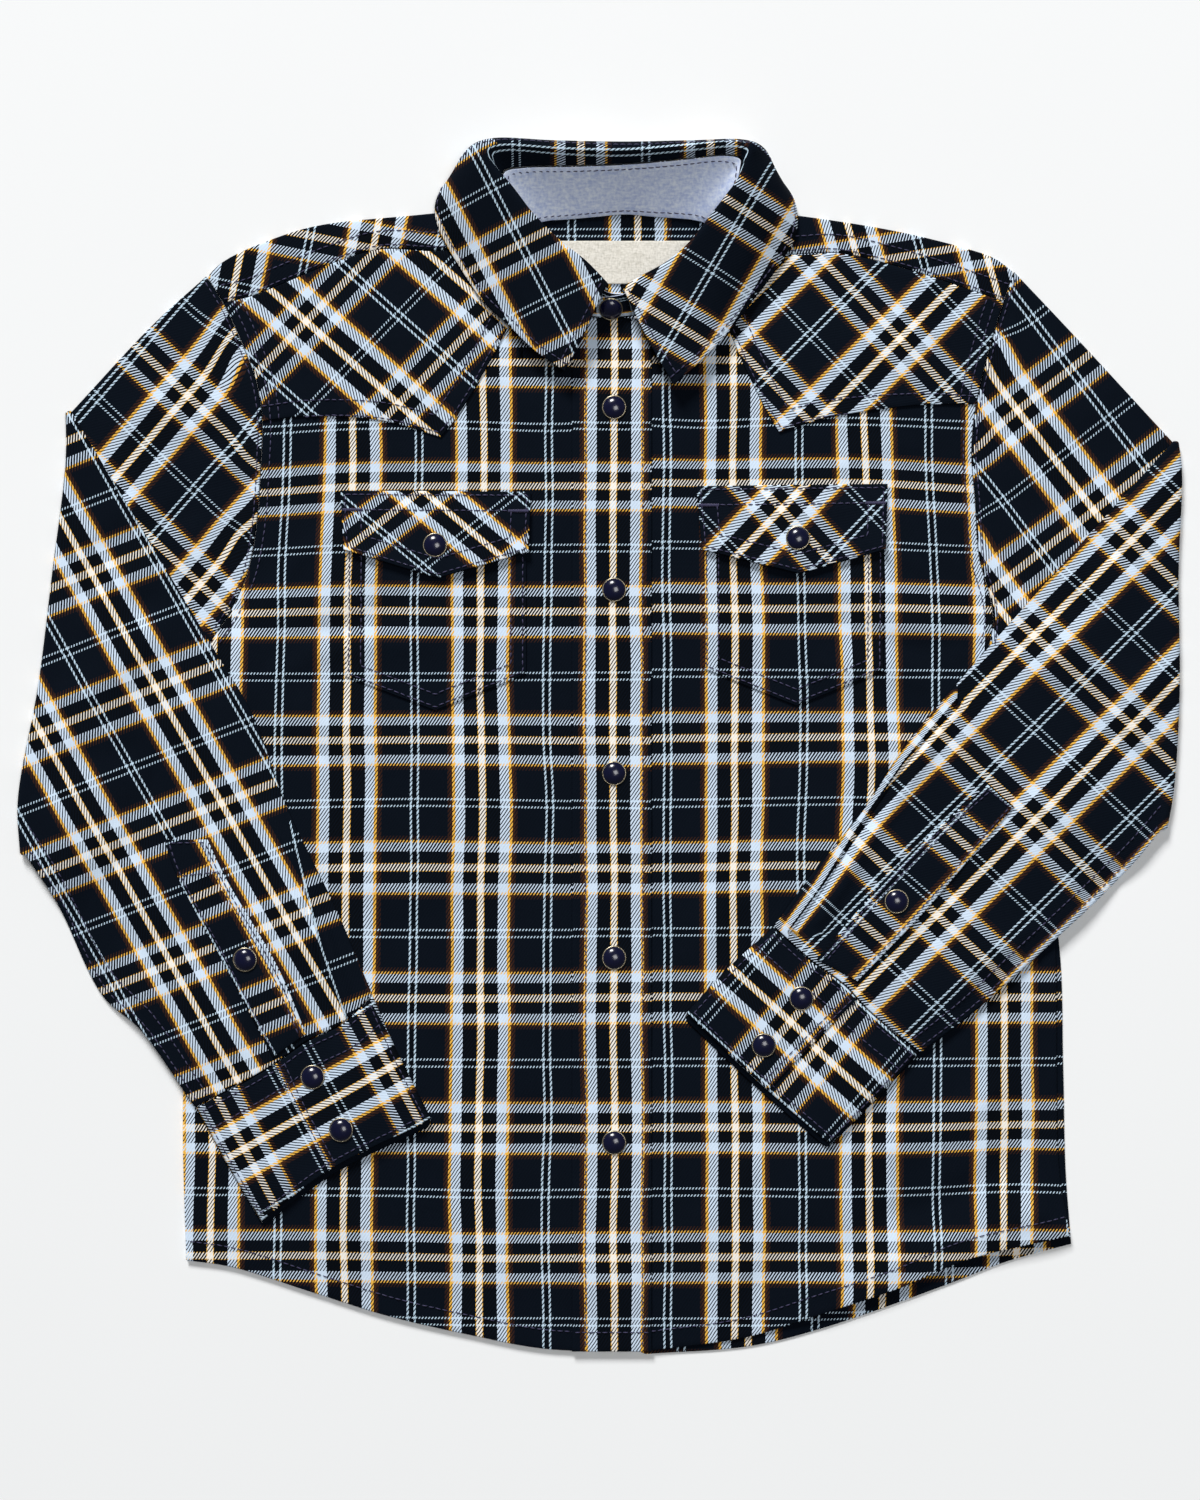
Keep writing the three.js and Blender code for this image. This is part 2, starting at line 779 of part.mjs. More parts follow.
// Fronts.
function front(name) {
  const isLeft = name === "left";
  const hole = part(armhole[name], 1 / ARM_STEPS, 1);
  const outerEdge = joined([hole, ARM_STEPS - 1], [side[name], SIDE_STEPS]);
  const meeting = CENTRE_SEAM + (isLeft ? 0 : GAP);
  const neckEnd = vector(NECKLINE_RIGHT[0]).setX(meeting);
  const hemEnd = vector(HEM_RIGHT[0]).setX(meeting);
  const centre = straight(neckEnd, hemEnd);
  const rows = ARM_STEPS - 1 + SIDE_STEPS;
  const columns = SHOULDER_COLUMNS + NECK_COLUMNS;
  const top = isLeft
    ? joined([forwardSeam.left, SHOULDER_COLUMNS], [neckline.left, NECK_COLUMNS])
    : joined([neckline.right, NECK_COLUMNS], [forwardSeam.right, SHOULDER_COLUMNS]);
  const plan = isLeft
    ? patch(top, hem.left, outerEdge, centre)
    : patch(top, hem.right, centre, outerEdge);
  const cornered = (u, v) => {
    const p = plan(u, v);
    return isLeft ? p : p.setX(Math.max(p.x, meeting));
  };
  return laid(cornered, columns, rows, frontUnder);
}

// What lies on a front follows the front's own height, moved out by whole layers.
const onFront = (layers) => (x, y) => frontTop(x, y) + GAP + layers * LAYER;

function placket() {
  const top = 187.8;
  const foot = (x) => (x < CENTRE_SEAM ? -266 : -265.8);
  const plan = patch(
    straight({ x: PLACKET_LEFT, y: top }, { x: PLACKET_RIGHT, y: top }),
    straight({ x: PLACKET_LEFT, y: foot(0) }, { x: PLACKET_RIGHT, y: foot(PLACKET_RIGHT) }),
    straight({ x: PLACKET_LEFT, y: top }, { x: PLACKET_LEFT, y: foot(0) }),
    straight({ x: PLACKET_RIGHT, y: top }, { x: PLACKET_RIGHT, y: foot(PLACKET_RIGHT) }),
  );
  return laid(plan, 4, ARM_STEPS - 1 + SIDE_STEPS, onFront(0));
}

function frontYoke(name) {
  const isLeft = name === "left";
  const hole = part(armhole[name], 1 / ARM_STEPS, isLeft ? 0.405 : 0.36);
  const low = smooth(isLeft ? YOKE_LOW_LEFT : YOKE_LOW_RIGHT);
  const frontEdge = smooth(isLeft ? YOKE_FRONT_LEFT : YOKE_FRONT_RIGHT);
  const plan = isLeft
    ? patch(endingAt(forwardSeam.left, null, frontEdge(0)), endingAt(low, hole(1), null), hole, frontEdge)
    : patch(endingAt(forwardSeam.right, frontEdge(0), null), endingAt(low, null, hole(1)), frontEdge, hole);
  return laid(plan, SHOULDER_COLUMNS, 6, onFront(0));
}

// A pointed patch: straight top and sides, and a foot that comes down to a point.
function pointedPlan([topLeft, topRight, footLeft, footRight, point]) {
  const foot = joined([straight(footLeft, point), 4], [straight(point, footRight), 4]);
  return patch(straight(topLeft, topRight), foot, straight(topLeft, footLeft), straight(topRight, footRight));
}

const pocket = (name) => laid(pointedPlan(POCKETS[name]), 8, 6, onFront(0));

// A flap starts on the front above the pocket's mouth and steps up over the pocket.
function flap(name) {
  const stepUp = (x, y, u, v) => onFront(0)(x, y) + LAYER * rise(v, 0.34);
  return laid(pointedPlan(FLAPS[name]), 8, 6, stepUp);
}

// Sleeves. A ring's points have their place across the flat tube, from the over edge to the
// under edge, an inset from either edge in millimetres and a height in the tube, which is
// measured from the layer that lies lowest above the elbow.
function tubeRing(skin) {
  const low = skin === "outer" ? 0 : WALL;
  const high = FLAT_TUBE - low;
  const edgeInset = skin === "outer" ? 0 : WALL;
  const cornerInset = edgeInset + 0.9;
  const inner = steps(ARM_STEPS).slice(1, -1);
  const top = [
    { across: 0, inset: cornerInset, height: high },
    ...inner.map((across) => ({ across, inset: 0, height: high })),
    { across: 1, inset: cornerInset, height: high },
  ];
  const bottom = top.map((p) => ({ ...p, height: low })).reverse();
  const middle = FLAT_TUBE / 2;
  return [
    { across: 0, inset: edgeInset, height: middle },
    ...top,
    { across: 1, inset: edgeInset, height: middle },
    ...bottom,
  ];
}

function sleevePlan(name) {
  const { outward, overUpper, underUpper, crease, overLower, underLower, cuffSeam } = SLEEVES[name];
  const hole = armhole[name];
  const reach = FLAT_TUBE + CREASE_RADIUS;
  const creaseLine = smooth(crease);
  const out = (t) => {
    const tangent = creaseLine(Math.min(t + 0.01, 1)).sub(creaseLine(Math.max(t - 0.01, 0)));
    return new THREE.Vector3(-outward * tangent.y, outward * tangent.x, 0).normalize();
  };
  const axis = (t) => creaseLine(t).addScaledVector(out(t), -reach);
  const seam = (t) => hole(t).setX(hole(t).x + outward * GAP);
  const upper = patch(
    endingAt(smooth(overUpper), seam(0), axis(0)),
    endingAt(smooth(underUpper), seam(1), axis(1)),
    seam,
    axis,
  );
  const lower = patch(
    endingAt(smooth(overLower), axis(0), null),
    endingAt(smooth(underLower), axis(1), null),
    axis,
    smooth(cuffSeam),
  );
  return { upper, lower, axis, out };
}

// The across share of a ring's point, with its inset turned into a share of the ring's width.
function shareAcross({ across, inset }, width) {
  return across === 0 ? inset / width : across === 1 ? 1 - inset / width : across;
}

function sleeve(name) {
  const { upper, lower, axis, out } = sleevePlan(name);
  const upperSteps = 5;
  const lowerSteps = 11;
  const skinRows = (skin) => {
    const ring = tubeRing(skin);
    const rows = [];
    for (let step = 0; step < upperSteps; step++) {
      const s = step / upperSteps;
      const width = upper(s, 0).distanceTo(upper(s, 1));
      rows.push(
        ring.map((spot) => {
          const p = upper(s, shareAcross(spot, width));
          const onTop = spot.height > FLAT_TUBE / 2;
          const outline = UPPER_ARMS[name === "left" ? 0 : 1];
          const relief = onTop ? upperArmRelief(p.x, p.y, beyond(p.x, p.y, outline)) : 0;
          return p.setZ(spot.height + relief);
        }),
      );
    }
    const creaseWidth = axis(0).distanceTo(axis(1));
    for (let step = 0; step <= CREASE_STEPS; step++) {
      const turn = -Math.PI / 2 + (Math.PI * step) / CREASE_STEPS;
      rows.push(
        ring.map((spot) => {
          const t = shareAcross(spot, creaseWidth);
          const radius = FLAT_TUBE - spot.height + CREASE_RADIUS;
          const p = axis(t).addScaledVector(out(t), radius * Math.cos(turn));
          return p.setZ(FLAT_TUBE + CREASE_RADIUS + radius * Math.sin(turn));
        }),
      );
    }
    for (let step = 1; step <= lowerSteps; step++) {
      const s = step / lowerSteps;
      const width = lower(s, 0).distanceTo(lower(s, 1));
      rows.push(
        ring.map((spot) => {
          const share = shareAcross(spot, width);
          const p = lower(s, share);
          const onTop = spot.height < FLAT_TUBE / 2;
          const relief = onTop ? forearmRelief(p.x, p.y, share, s) : 0;
          return p.setZ(forearmSeat(p.x, p.y) + FLAT_TUBE - spot.height + relief);
        }),
      );
    }
    return rows;
  };
  return wall(skinRows("outer"), skinRows("inner"), { ring: true });
}

// Height of the top of a forearm under a point, from its place in the forearm's plan.
function forearmTop(name) {
  const { lower } = sleevePlan(name);
  const samples = grid(lower, 12, 24).map((row, i) =>
    row.map((p, j) => ({ x: p.x, y: p.y, along: j / 12, across: i / 24 })),
  );
  const spots = samples.flat();
  return (x, y) => {
    const nearest = spots.reduce((best, spot) =>
      Math.hypot(spot.x - x, spot.y - y) < Math.hypot(best.x - x, best.y - y) ? spot : best,
    );
    return forearmSeat(x, y) + FLAT_TUBE + forearmRelief(x, y, nearest.across, nearest.along);
  };
}

function sleevePlacket(name) {
  const { placketOver, placketUnder } = SLEEVES[name];
  const over = smooth(placketOver);
  const under = smooth(placketUnder);
  const plan = (u, v) => over(v).lerp(under(v), u);
  const top = forearmTop(name);
  return laid(plan, 3, 8, (x, y) => top(x, y) + GAP);
}

// Cuffs: a band wrapped round the end of the sleeve, its over part lapped on its under part.
function cuff(name) {
  const { cuffSeam, cuffEnd, cuffOver, cuffUnder } = SLEEVES[name];
  const seam = smooth(cuffSeam);
  const end = smooth(cuffEnd);
  const over = smooth(cuffOver);
  const under = smooth(cuffUnder);
  const away = end(0.5).sub(seam(0.5)).normalize().multiplyScalar(2 * GAP);
  const plan = patch(
    (u) => seam(u).add(away),
    end,
    (v) => over(v).addScaledVector(away, 1 - v),
    (v) => under(v).addScaledVector(away, 1 - v),
  );
  const rows = (column, insetEdge) =>
    steps(4).map((v) =>
      CUFF_BAND.map((spot) => {
        const width = plan(0, v).distanceTo(plan(1, v));
        const inset = insetEdge ? WALL / width : 0;
        const p = plan(THREE.MathUtils.clamp(spot.across, inset, 1 - inset), v);
        return p.setZ(forearmSeat(p.x, p.y) + spot[column]);
      }),
    );
  return wall(rows("face", false), rows("lining", true));
}

// Collar: the profile of each section runs up the stand to the crest and down to the edge.
function collarProfile(row) {
  const neck = new THREE.Vector3(row.neckX, row.neckY, row.neckZ);
  const crest = new THREE.Vector3(row.crestX, row.crestY, row.crestZ);
  const edge = new THREE.Vector3(row.edgeX, row.edgeY, row.edgeZ);
  const join = neck.clone().lerp(crest, STAND_SHARE);
  const away = crest.clone().add(edge).divideScalar(2);
  away.sub(new THREE.Vector3(NECK_CENTRE.x, NECK_CENTRE.y, away.z)).normalize();
  const fall = crest.clone().lerp(edge, 0.5).addScaledVector(away, LEAF_BOW_OUT);
  fall.z += LEAF_BOW_UP;
  return { neck, join, crest, fall, edge };
}

const isTab = (row) => row.place.startsWith("tab");

function collarStand() {
  const rows = COLLAR.map((row) => {
    const { neck, join } = collarProfile(row);
    return steps(3).map((t) => neck.clone().lerp(join, t * (1 - STAND_JOIN_GAP / neck.distanceTo(join))));
  });
  return thickened(rows, -WALL);
}

function collarLeaf() {
  const rows = COLLAR.filter((row) => !isTab(row)).map((row) => {
    const { join, crest, fall, edge } = collarProfile(row);
    const line = smooth([join, crest, fall, edge]);
    return steps(7).map(line);
  });
  return thickened(rows, -WALL);
}

function neckLabel() {
  const { x1, x2, y1, y2 } = LABEL;
  const plate = outlineSolid([{ x: x1, y: y1 }, { x: x2, y: y1 }, { x: x2, y: y2 }, { x: x1, y: y2 }], WALL);
  return plate.translate(0, 0, LAYER);
}

function snapCap() {
  const profile = SNAP_PROFILE.map(({ radius, height }) => new THREE.Vector2(radius, height));
  return new THREE.LatheGeometry(profile, SNAP_FACETS).rotateX(Math.PI / 2);
}

// Finishes.
const finish = (color, roughness, metalness = 0) =>
  new THREE.MeshStandardMaterial({ color, roughness, metalness });
const CHECK = finish("#232b39", 0.85);
const CHAMBRAY = finish("#8c93a8", 0.85);
const LABEL_CLOTH = finish("#ddd6c4", 0.8);
const ENAMEL = finish("#1b1e3a", 0.25, 0.2);

const shirt = new THREE.Group();

function add(name, geometry, material) {
  const mesh = new THREE.Mesh(geometry, material);
  mesh.name = name;
  shirt.add(mesh);
  return mesh;
}

add("back", back(), CHECK);
add("back_yoke", backYoke(), CHECK);
add("front_placket", placket(), CHECK);
for (const name of ["left", "right"]) {
  add("front_" + name, front(name), CHECK);
  add("yoke_" + name, frontYoke(name), CHECK);
  add("pocket_" + name, pocket(name), CHECK);
  add("flap_" + name, flap(name), CHECK);
  add("sleeve_" + name, sleeve(name), CHECK);
  add("sleeve_placket_" + name, sleevePlacket(name), CHECK);
  add("cuff_" + name, cuff(name), CHECK);
}
add("collar_stand", collarStand(), CHAMBRAY);
add("collar_leaf", collarLeaf(), CHECK);
add("neck_label", neckLabel(), LABEL_CLOTH);

for (const { name, x, y, on, stack } of SNAPS) {
  const cap = add(name, snapCap(), ENAMEL);
  const surface = on === "body" ? frontTop(x, y) : snapSeatOnForearm(name, x, y);
  cap.position.set(x, y, surface + stack * LAYER + GAP);
}
const standSnap = add("snap_stand", snapCap(), ENAMEL);
standSnap.position.set(STAND_SNAP.x, STAND_SNAP.y, STAND_SNAP.z);
standSnap.rotation.x = STAND_SNAP.lean;

// The top of the cuff's lap, or of the forearm under a sleeve placket.
function snapSeatOnForearm(name, x, y) {
  const arm = name.includes("left") ? "left" : "right";
  return name.includes("cuff") ? forearmSeat(x, y) + FLAT_TUBE : forearmTop(arm)(x, y);
}

export default shirt;
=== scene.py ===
"""A child's checked western shirt, laid flat: its cloth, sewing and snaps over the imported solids.

Lengths in this script are millimetres in the shirt's own frame, and become metres where a mesh
is made. Left and right are as seen from above, X to the right and Y towards the collar.
"""

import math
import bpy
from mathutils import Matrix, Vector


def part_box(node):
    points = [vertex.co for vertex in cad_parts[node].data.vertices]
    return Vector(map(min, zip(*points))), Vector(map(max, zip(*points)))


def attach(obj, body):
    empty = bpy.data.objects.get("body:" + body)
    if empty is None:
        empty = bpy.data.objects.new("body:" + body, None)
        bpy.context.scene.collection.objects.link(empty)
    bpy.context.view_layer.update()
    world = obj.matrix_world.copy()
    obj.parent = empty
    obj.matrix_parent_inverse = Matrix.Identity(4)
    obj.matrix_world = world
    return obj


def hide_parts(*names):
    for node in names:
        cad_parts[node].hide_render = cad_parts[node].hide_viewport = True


bl_info = {
    "name": "Western Snap Shirt",
    "version": (1, 0, 0),
    "blender": (4, 5, 0),
    "location": "View3D > Sidebar > Shirt",
    "description": "Cloth, sewing and snaps of a child's checked western shirt, laid flat",
    "category": "Add Mesh",
}

from collections import namedtuple

import bmesh
import bpy
import numpy as np
from bpy.props import FloatProperty, FloatVectorProperty, IntProperty, PointerProperty
from mathutils import Vector
from mathutils.bvhtree import BVHTree

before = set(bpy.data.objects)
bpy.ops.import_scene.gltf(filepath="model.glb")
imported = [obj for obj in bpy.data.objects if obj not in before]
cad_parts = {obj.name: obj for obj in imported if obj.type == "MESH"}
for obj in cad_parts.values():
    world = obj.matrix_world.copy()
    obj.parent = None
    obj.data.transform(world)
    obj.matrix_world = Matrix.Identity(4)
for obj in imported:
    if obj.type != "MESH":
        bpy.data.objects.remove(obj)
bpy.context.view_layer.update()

MM = 0.001
GRAIN_MAP = "grain"
CLOTH = "_cloth"
FINISH = "_finish"
SIDES = ("left", "right")
INWARD = {"left": 1, "right": -1}  # the way along X to the centre

# Construction sizes, as in the solids.
WALL = 1.0
GAP = 0.3
LAYER = WALL + GAP
FLAT_TUBE = 2 * WALL + GAP
TUBE_EDGE = (60, 30, 0, -30, -60)  # degrees round the edge of a flat tube
SEAT = 0.8
PRESSED = 0.3  # how much closer a sewn-on piece lies than its solid
DRAPE_SHELF = 11.0
DRAPE_RUN = 30.0
CREASE_RADIUS = 0.3
PLACKET_LEFT, PLACKET_RIGHT = -18.5, 16.5
CENTRE_SEAM = 14.0
PLACKET_TOP, PLACKET_FOOT = 187.8, -266.0
CENTRE_TOP, CENTRE_FOOT = 187.0, -266.0
LEAF_BOW_OUT = 3.4
LEAF_BOW_UP = 1.0
NECK_CENTRE = np.array([4.0, 222.0])
NECK_TUCK = 2.4  # how far the back yoke reaches under the collar stand

# Facets of the solids, which say where an outline's corners fall.
ARM_STEPS = 12
YOKE_STEPS = 4
SIDE_STEPS = 13
SHOULDER_COLUMNS = 8
NECK_COLUMNS = 5

# Repeats of the check, and the twill's pitch across and along the warp.
WARP_REPEAT = 59.0
WEFT_REPEAT = 56.3
TWILL_ACROSS = 1.42
TWILL_ALONG = 2.15
YARN_SPREAD = 0.14  # how softly the yarns of the plain weaves run into one another
WARP_COMES_UP = (0.28, 0.46)  # between these shares of a twill line the warp takes over

# The check's bands of yarn, each by where it starts from the middle of a cream stripe.
WARP_BANDS = (
    (0, "cream"), (1.25, "gold"), (1.6, "shade"), (7.5, "light"), (11.7, "gold"), (13.0, "brown"),
    (14.0, "rust"), (15.0, "ground"), (27.45, "ice"), (28.35, "shade"),
)
WEFT_BANDS = (
    (0, "cream"), (1.35, "gold"), (1.75, "shade"), (6.7, "light"), (10.4, "gold"), (11.5, "brown"),
    (12.4, "rust"), (13.4, "ground"), (26.1, "ice"), (27.0, "shade"),
)

# Points of a curve between two corners, and of a bent fold.
CURVE_FINENESS = 24
FOLD_BENDS = 5

# Lengths that say how many cells the larger grids have.
UPPER_ARM, FOREARM, SLEEVE_WIDTH = 90, 255, 170
CUFF_ROUND, CUFF_DEPTH = 250, 56
CREASE_ROWS = 8
STAND_SECTIONS, STAND_ROWS = 200, 12
LEAF_SECTIONS, ROLL_COLUMNS, FALL_COLUMNS = 190, 9, 27
LABEL_GRID = (40, 14)
SNAP_STEP = 6  # a snap has every sixth point of its rounded profiles

# Cuts of the pieces that are wrapped or folded, width and length.
YOKE_CUT = (354, 140)
SLEEVE_CUT = (400, 372)
STAND_CUT = (300, 30)
LEAF_CUT = (330, 60)
CUFF_CUT_SHARE, CUFF_CUT_LESS = 2.57, 14  # round a cuff, from its width when flat

# How far each row of stitches lies inside its edge.
HEM_STITCH = 8.5
SHOULDER_STITCHES = (1.8, 8)
ARMHOLE_STITCHES = (3.6, 7.4)
SLEEVE_HEAD_STITCH = 2
SLEEVE_SEAM_SHARES = (0.972, 0.915)
PLACKET_STITCH = 12.5  # either side of the centre line
YOKE_STITCHES = (1.8, 8.6)
POCKET_STITCHES = (1.6, 6.8)
FLAP_EDGE_STITCH, FLAP_STITCH, FLAP_ROW = 1.7, 8.3, 8.5
CUFF_STITCH_SHARES = (0.045, 0.2, 0.95)
LAP_STITCHES = (1.6, 4.2)
TACK_STITCHES, TACK_START, TACK_PITCH, TACK_LENGTH = 18, 1.2, 0.5, 1.5


def points(*rows):
    return np.array(rows, float)


def rows(columns, *values):
    row = namedtuple("Row", columns)
    return [row(*value) for value in values]


# Outlines, each from the collar end to the hem end, or from left to right.
ARMHOLE = {
    "left": points(
        (-179, 206.5), (-171, 193.5), (-163, 176), (-157, 160), (-154.5, 143),
        (-155, 125), (-157, 97), (-161, 76), (-168, 60), (-177, 46),
    ),
    "right": points(
        (175.5, 208.5), (171, 195), (164, 172), (159, 150), (157, 130),
        (158.5, 108), (160.5, 82), (165, 66), (166.5, 55), (164.5, 43),
    ),
}
SIDE_SEAM = {
    "left": points((-177, 46), (-182, -40), (-188.5, -130), (-189.5, -170), (-188, -226)),
    "right": points((164.5, 43), (183, -20), (193.5, -85), (194.5, -140), (195.5, -185), (200, -215)),
}
BACK_SIDE_RIGHT = points(
    (164.5, 43), (183, -20), (195.5, -85), (197.5, -140), (198.5, -185), (201, -219),
)
SHOULDER = {
    "left": points((-179, 206.5), (-171, 213.5), (-147, 224), (-129, 229), (-86, 233.5), (-47, 237.5)),
    "right": points(
        (51, 236.5), (82, 233), (115, 228), (134.5, 224), (152, 219.5), (167, 214.5), (175.5, 208.5),
    ),
}
FORWARD_SEAM = {
    "left": points(
        (-171, 194), (-159, 197), (-143, 203.5), (-125, 211), (-102, 218), (-76, 217.5), (-44, 222),
    ),
    "right": points((50, 221), (75.5, 216), (97.5, 216.5), (122.5, 211), (142, 205), (171, 195)),
}
BACK_NECKLINE = points(
    (-47, 237.5), (-36, 232.5), (-16, 231.5), (5, 234), (26, 232), (41, 232.5), (51, 236.5),
)
NECKLINE = {
    "left": points((-44, 222), (-43.5, 212), (-36, 202), (-22, 193), (14, 187)),
    "right": points((14, 187), (28, 193), (42, 202), (49.5, 212), (50, 221)),
}
HEM = {
    "left": points(
        (-188, -226), (-168, -229), (-133, -240), (-99.5, -250.5), (-65, -258.5), (-30, -265), (14, -266),
    ),
    "right": points((14, -266), (59.5, -259.5), (92, -249), (125, -238), (155, -225.5), (200, -215)),
}
BACK_HEM_RIGHT = points(
    (14, -267.5), (59.5, -264), (92, -256), (147.5, -236.5), (172, -227), (201, -219),
)
HEM_LIFT, HEM_LIFT_HALF = 2.6, 17  # where the right front stands off the back
HEM_LIFT_LINE = points((96, -250), (190, -216))
BACK_LIFT = 0.05  # of the underside off the surface
YOKE_LOW = {
    "left": points((-154, 140.5), (-134, 143), (-102, 142), (-76, 135.5)),
    "right": points((72.5, 137.5), (95, 143), (134.5, 146), (157.5, 145)),
}
YOKE_FRONT = {
    "left": points((-45.5, 221.6), (-46.5, 211), (-41.5, 199), (-55.5, 167), (-70, 143), (-76, 135.5)),
    "right": points((51.5, 220.6), (52, 211), (46, 199), (54, 174), (68.5, 144), (72.5, 137.5)),
}
YOKE_SHARE = {"left": 0.405, "right": 0.36}

# Each sleeve from the shoulder to the elbow crease and back to the cuff.
Sleeve = namedtuple(
    "Sleeve",
    "outward over_upper under_upper crease over_lower under_lower "
    "cuff_seam cuff_over cuff_under cuff_end placket_over placket_under",
)
SLEEVES = {
    "left": Sleeve(
        -1,
        points((-180, 207.5), (-204.5, 185.5), (-241, 147)),
        points((-177, 46), (-222, -4), (-261, -48)),
        points((-241, 147), (-241, 125), (-247, 75), (-253, 27), (-262, -24), (-261, -48)),
        points(
            (-241, 147), (-200, 80), (-177.5, 43), (-160, 14.5), (-145.5, -24), (-122.5, -71), (-106, -109),
        ),
        points((-261, -48), (-247.5, -68), (-226, -110), (-208.5, -125), (-184, -158.5)),
        points((-106, -109), (-119.5, -121.5), (-134.5, -129), (-152, -141), (-184, -158.5)),
        points((-106, -109), (-97.5, -128.5), (-80, -163.5)),
        points((-184, -158.5), (-171.5, -181.5), (-155.5, -208.5)),
        points((-80, -163.5), (-124.5, -185.5), (-155.5, -208.5)),
        points((-178, -41), (-170.5, -57), (-147, -97), (-134.8, -126)),
        points((-197, -41), (-192.5, -54.5), (-169, -99), (-149.5, -136.5)),
    ),
    "right": Sleeve(
        1,
        points((176.5, 209.5), (201.5, 183.5), (248, 134)),
        points((164.5, 43), (202, 2), (243, -37)),
        points((248, 134), (249.5, 120), (248, 76), (248.5, 25), (246, -19), (243, -37)),
        points(
            (248, 134), (205, 87), (178, 57), (157, 33.5), (129.5, 1.5), (110, -28), (87.5, -55.5), (70, -79),
        ),
        points((243, -37), (226.5, -56), (198.5, -82), (155, -119.5), (134.5, -134.5)),
        points((70, -79), (86, -93.5), (101, -104.5), (112, -116), (134.5, -134.5)),
        points((70, -79), (51, -96), (31.5, -117)),
        points((134.5, -134.5), (115.5, -155), (95.5, -175)),
        points((31.5, -117), (65, -148.5), (95.5, -175)),
        points((163.5, -17), (143, -34.5), (121.5, -55), (88.5, -93.5)),
        points((175, -26.5), (159.5, -44.5), (138, -70), (106.5, -103)),
    ),
}

# A cuff's wrapped band in section: the place across and the height of its right side.
CUFF_BAND = points(
    (0.57, 3.15), (0.42, 3.45), (0.26, 3.6), (0.12, 3.5), (0.035, 3.1), (0, 1.7), (0.035, 0),
    (0.2, 0), (0.42, 0), (0.66, 0), (0.965, 0), (1, 1.15), (0.965, 2.3), (0.7, 2.3), (0.5, 2.3),
    (0.3, 2.3),
)
CUFF_LINING = (2.45, 2.55, 2.6, 2.5, 2.1, 1.7, 1, 1, 1, 1, 1, 1.15, 1.3, 1.3, 1.3, 1.3)
CUFF_UNDER, CUFF_UPPER = 1.6, 2.2  # below the first height is its lower layer, above the second its upper
CUFF_LAP = 0.3  # the share round the band that laps over
CUFF_PEEK = 3.0  # how far the lower layer shows past the end
# The plain dark ground below is given all over to a cuff's lower layer where it peeks past the end: painted
# shade under the cuff's end, together with the dark inside of its cloth.
GROUND_PLACE = (0.33, 0.33)  # in the plain dark square of the check

# The largest soft folds: a ridge, or below nought a trough, between two points, with a bend.
BODY_FOLDS = rows(
    "x1 y1 x2 y2 bend half height",
    (-170, 40, -110, 78, 0, 15, 1.4),
    (-172, 22, -120, 8, 0, 17, 1.5),
    (160, 38, 104, 72, 0, 15, 1.3),
    (168, 16, 120, -4, 0, 16, 1.4),
    (-66, -10, -60, -190, 0, 20, 0.9),
    (52, -20, 58, -205, 0, 20, 0.8),
    (-120, -215, -112, -150, 0, 16, 0.9),
    (128, -232, 190, -205, 0, 15, 1.8),
    (96, -240, 88, -150, 0, 17, 1),
    (-28, 40, -26, -120, 0, 14, 0.6),
)
BODY_CREASES = rows(
    "x1 y1 x2 y2 bend half height",
    (-150, 66, -118, 96, 4, 4, 0.5),
    (-152, 52, -96, 60, -5, 5, -0.6),
    (-150, 30, -88, 44, 6, 5, 0.6),
    (-140, -2, -104, -22, 5, 6, -0.5),
    (-136, -44, -92, -62, -6, 7, 0.45),
    (-96, -84, -52, -72, 5, 8, -0.4),
    (-74, -120, -38, -150, 6, 7, 0.4),
    (-130, -190, -96, -222, -5, 6, 0.45),
    (-54, -200, -30, -246, 4, 6, -0.4),
    (150, 60, 116, 88, -4, 4, 0.5),
    (148, 44, 96, 56, 5, 5, -0.55),
    (146, 22, 92, 34, -6, 6, 0.55),
    (92, 12, 44, -16, 6, 8, -0.45),
    (70, -60, 34, -92, -6, 7, 0.45),
    (168, -150, 118, -178, 5, 7, 0.6),
    (178, -178, 120, -206, 5, 6, -0.7),
    (60, -186, 30, -214, 4, 7, 0.4),
    (88, -214, 58, -246, -4, 6, -0.4),
    (-100, 128, -60, 118, 3, 5, 0.3),
    (132, 132, 96, 122, -3, 5, 0.3),
    (-34, 150, -26, 96, 3, 6, 0.35),
    (30, 150, 27, 92, -3, 6, 0.35),
)
SLEEVE_FOLDS = rows(
    "x1 y1 x2 y2 bend half height",
    (-168, 70, -226, 118, 0, 13, 1.3),
    (-166, 120, -204, 150, 0, 14, 0.8),
    (-240, 88, -196, 10, 0, 15, 1),
    (-252, 10, -214, -62, 0, 15, 1.1),
    (-146, -62, -122, -112, 0, 8, 1),
    (-196, -106, -172, -142, 0, 10, 0.8),
    (166, 66, 226, 112, 0, 13, 1.2),
    (168, 118, 206, 148, 0, 14, 0.8),
    (236, 96, 190, 36, 0, 15, 1),
    (238, 16, 176, -44, 0, 15, 1.1),
    (122, -22, 92, -64, 0, 9, 1),
    (170, -88, 138, -118, 0, 10, 0.8),
)
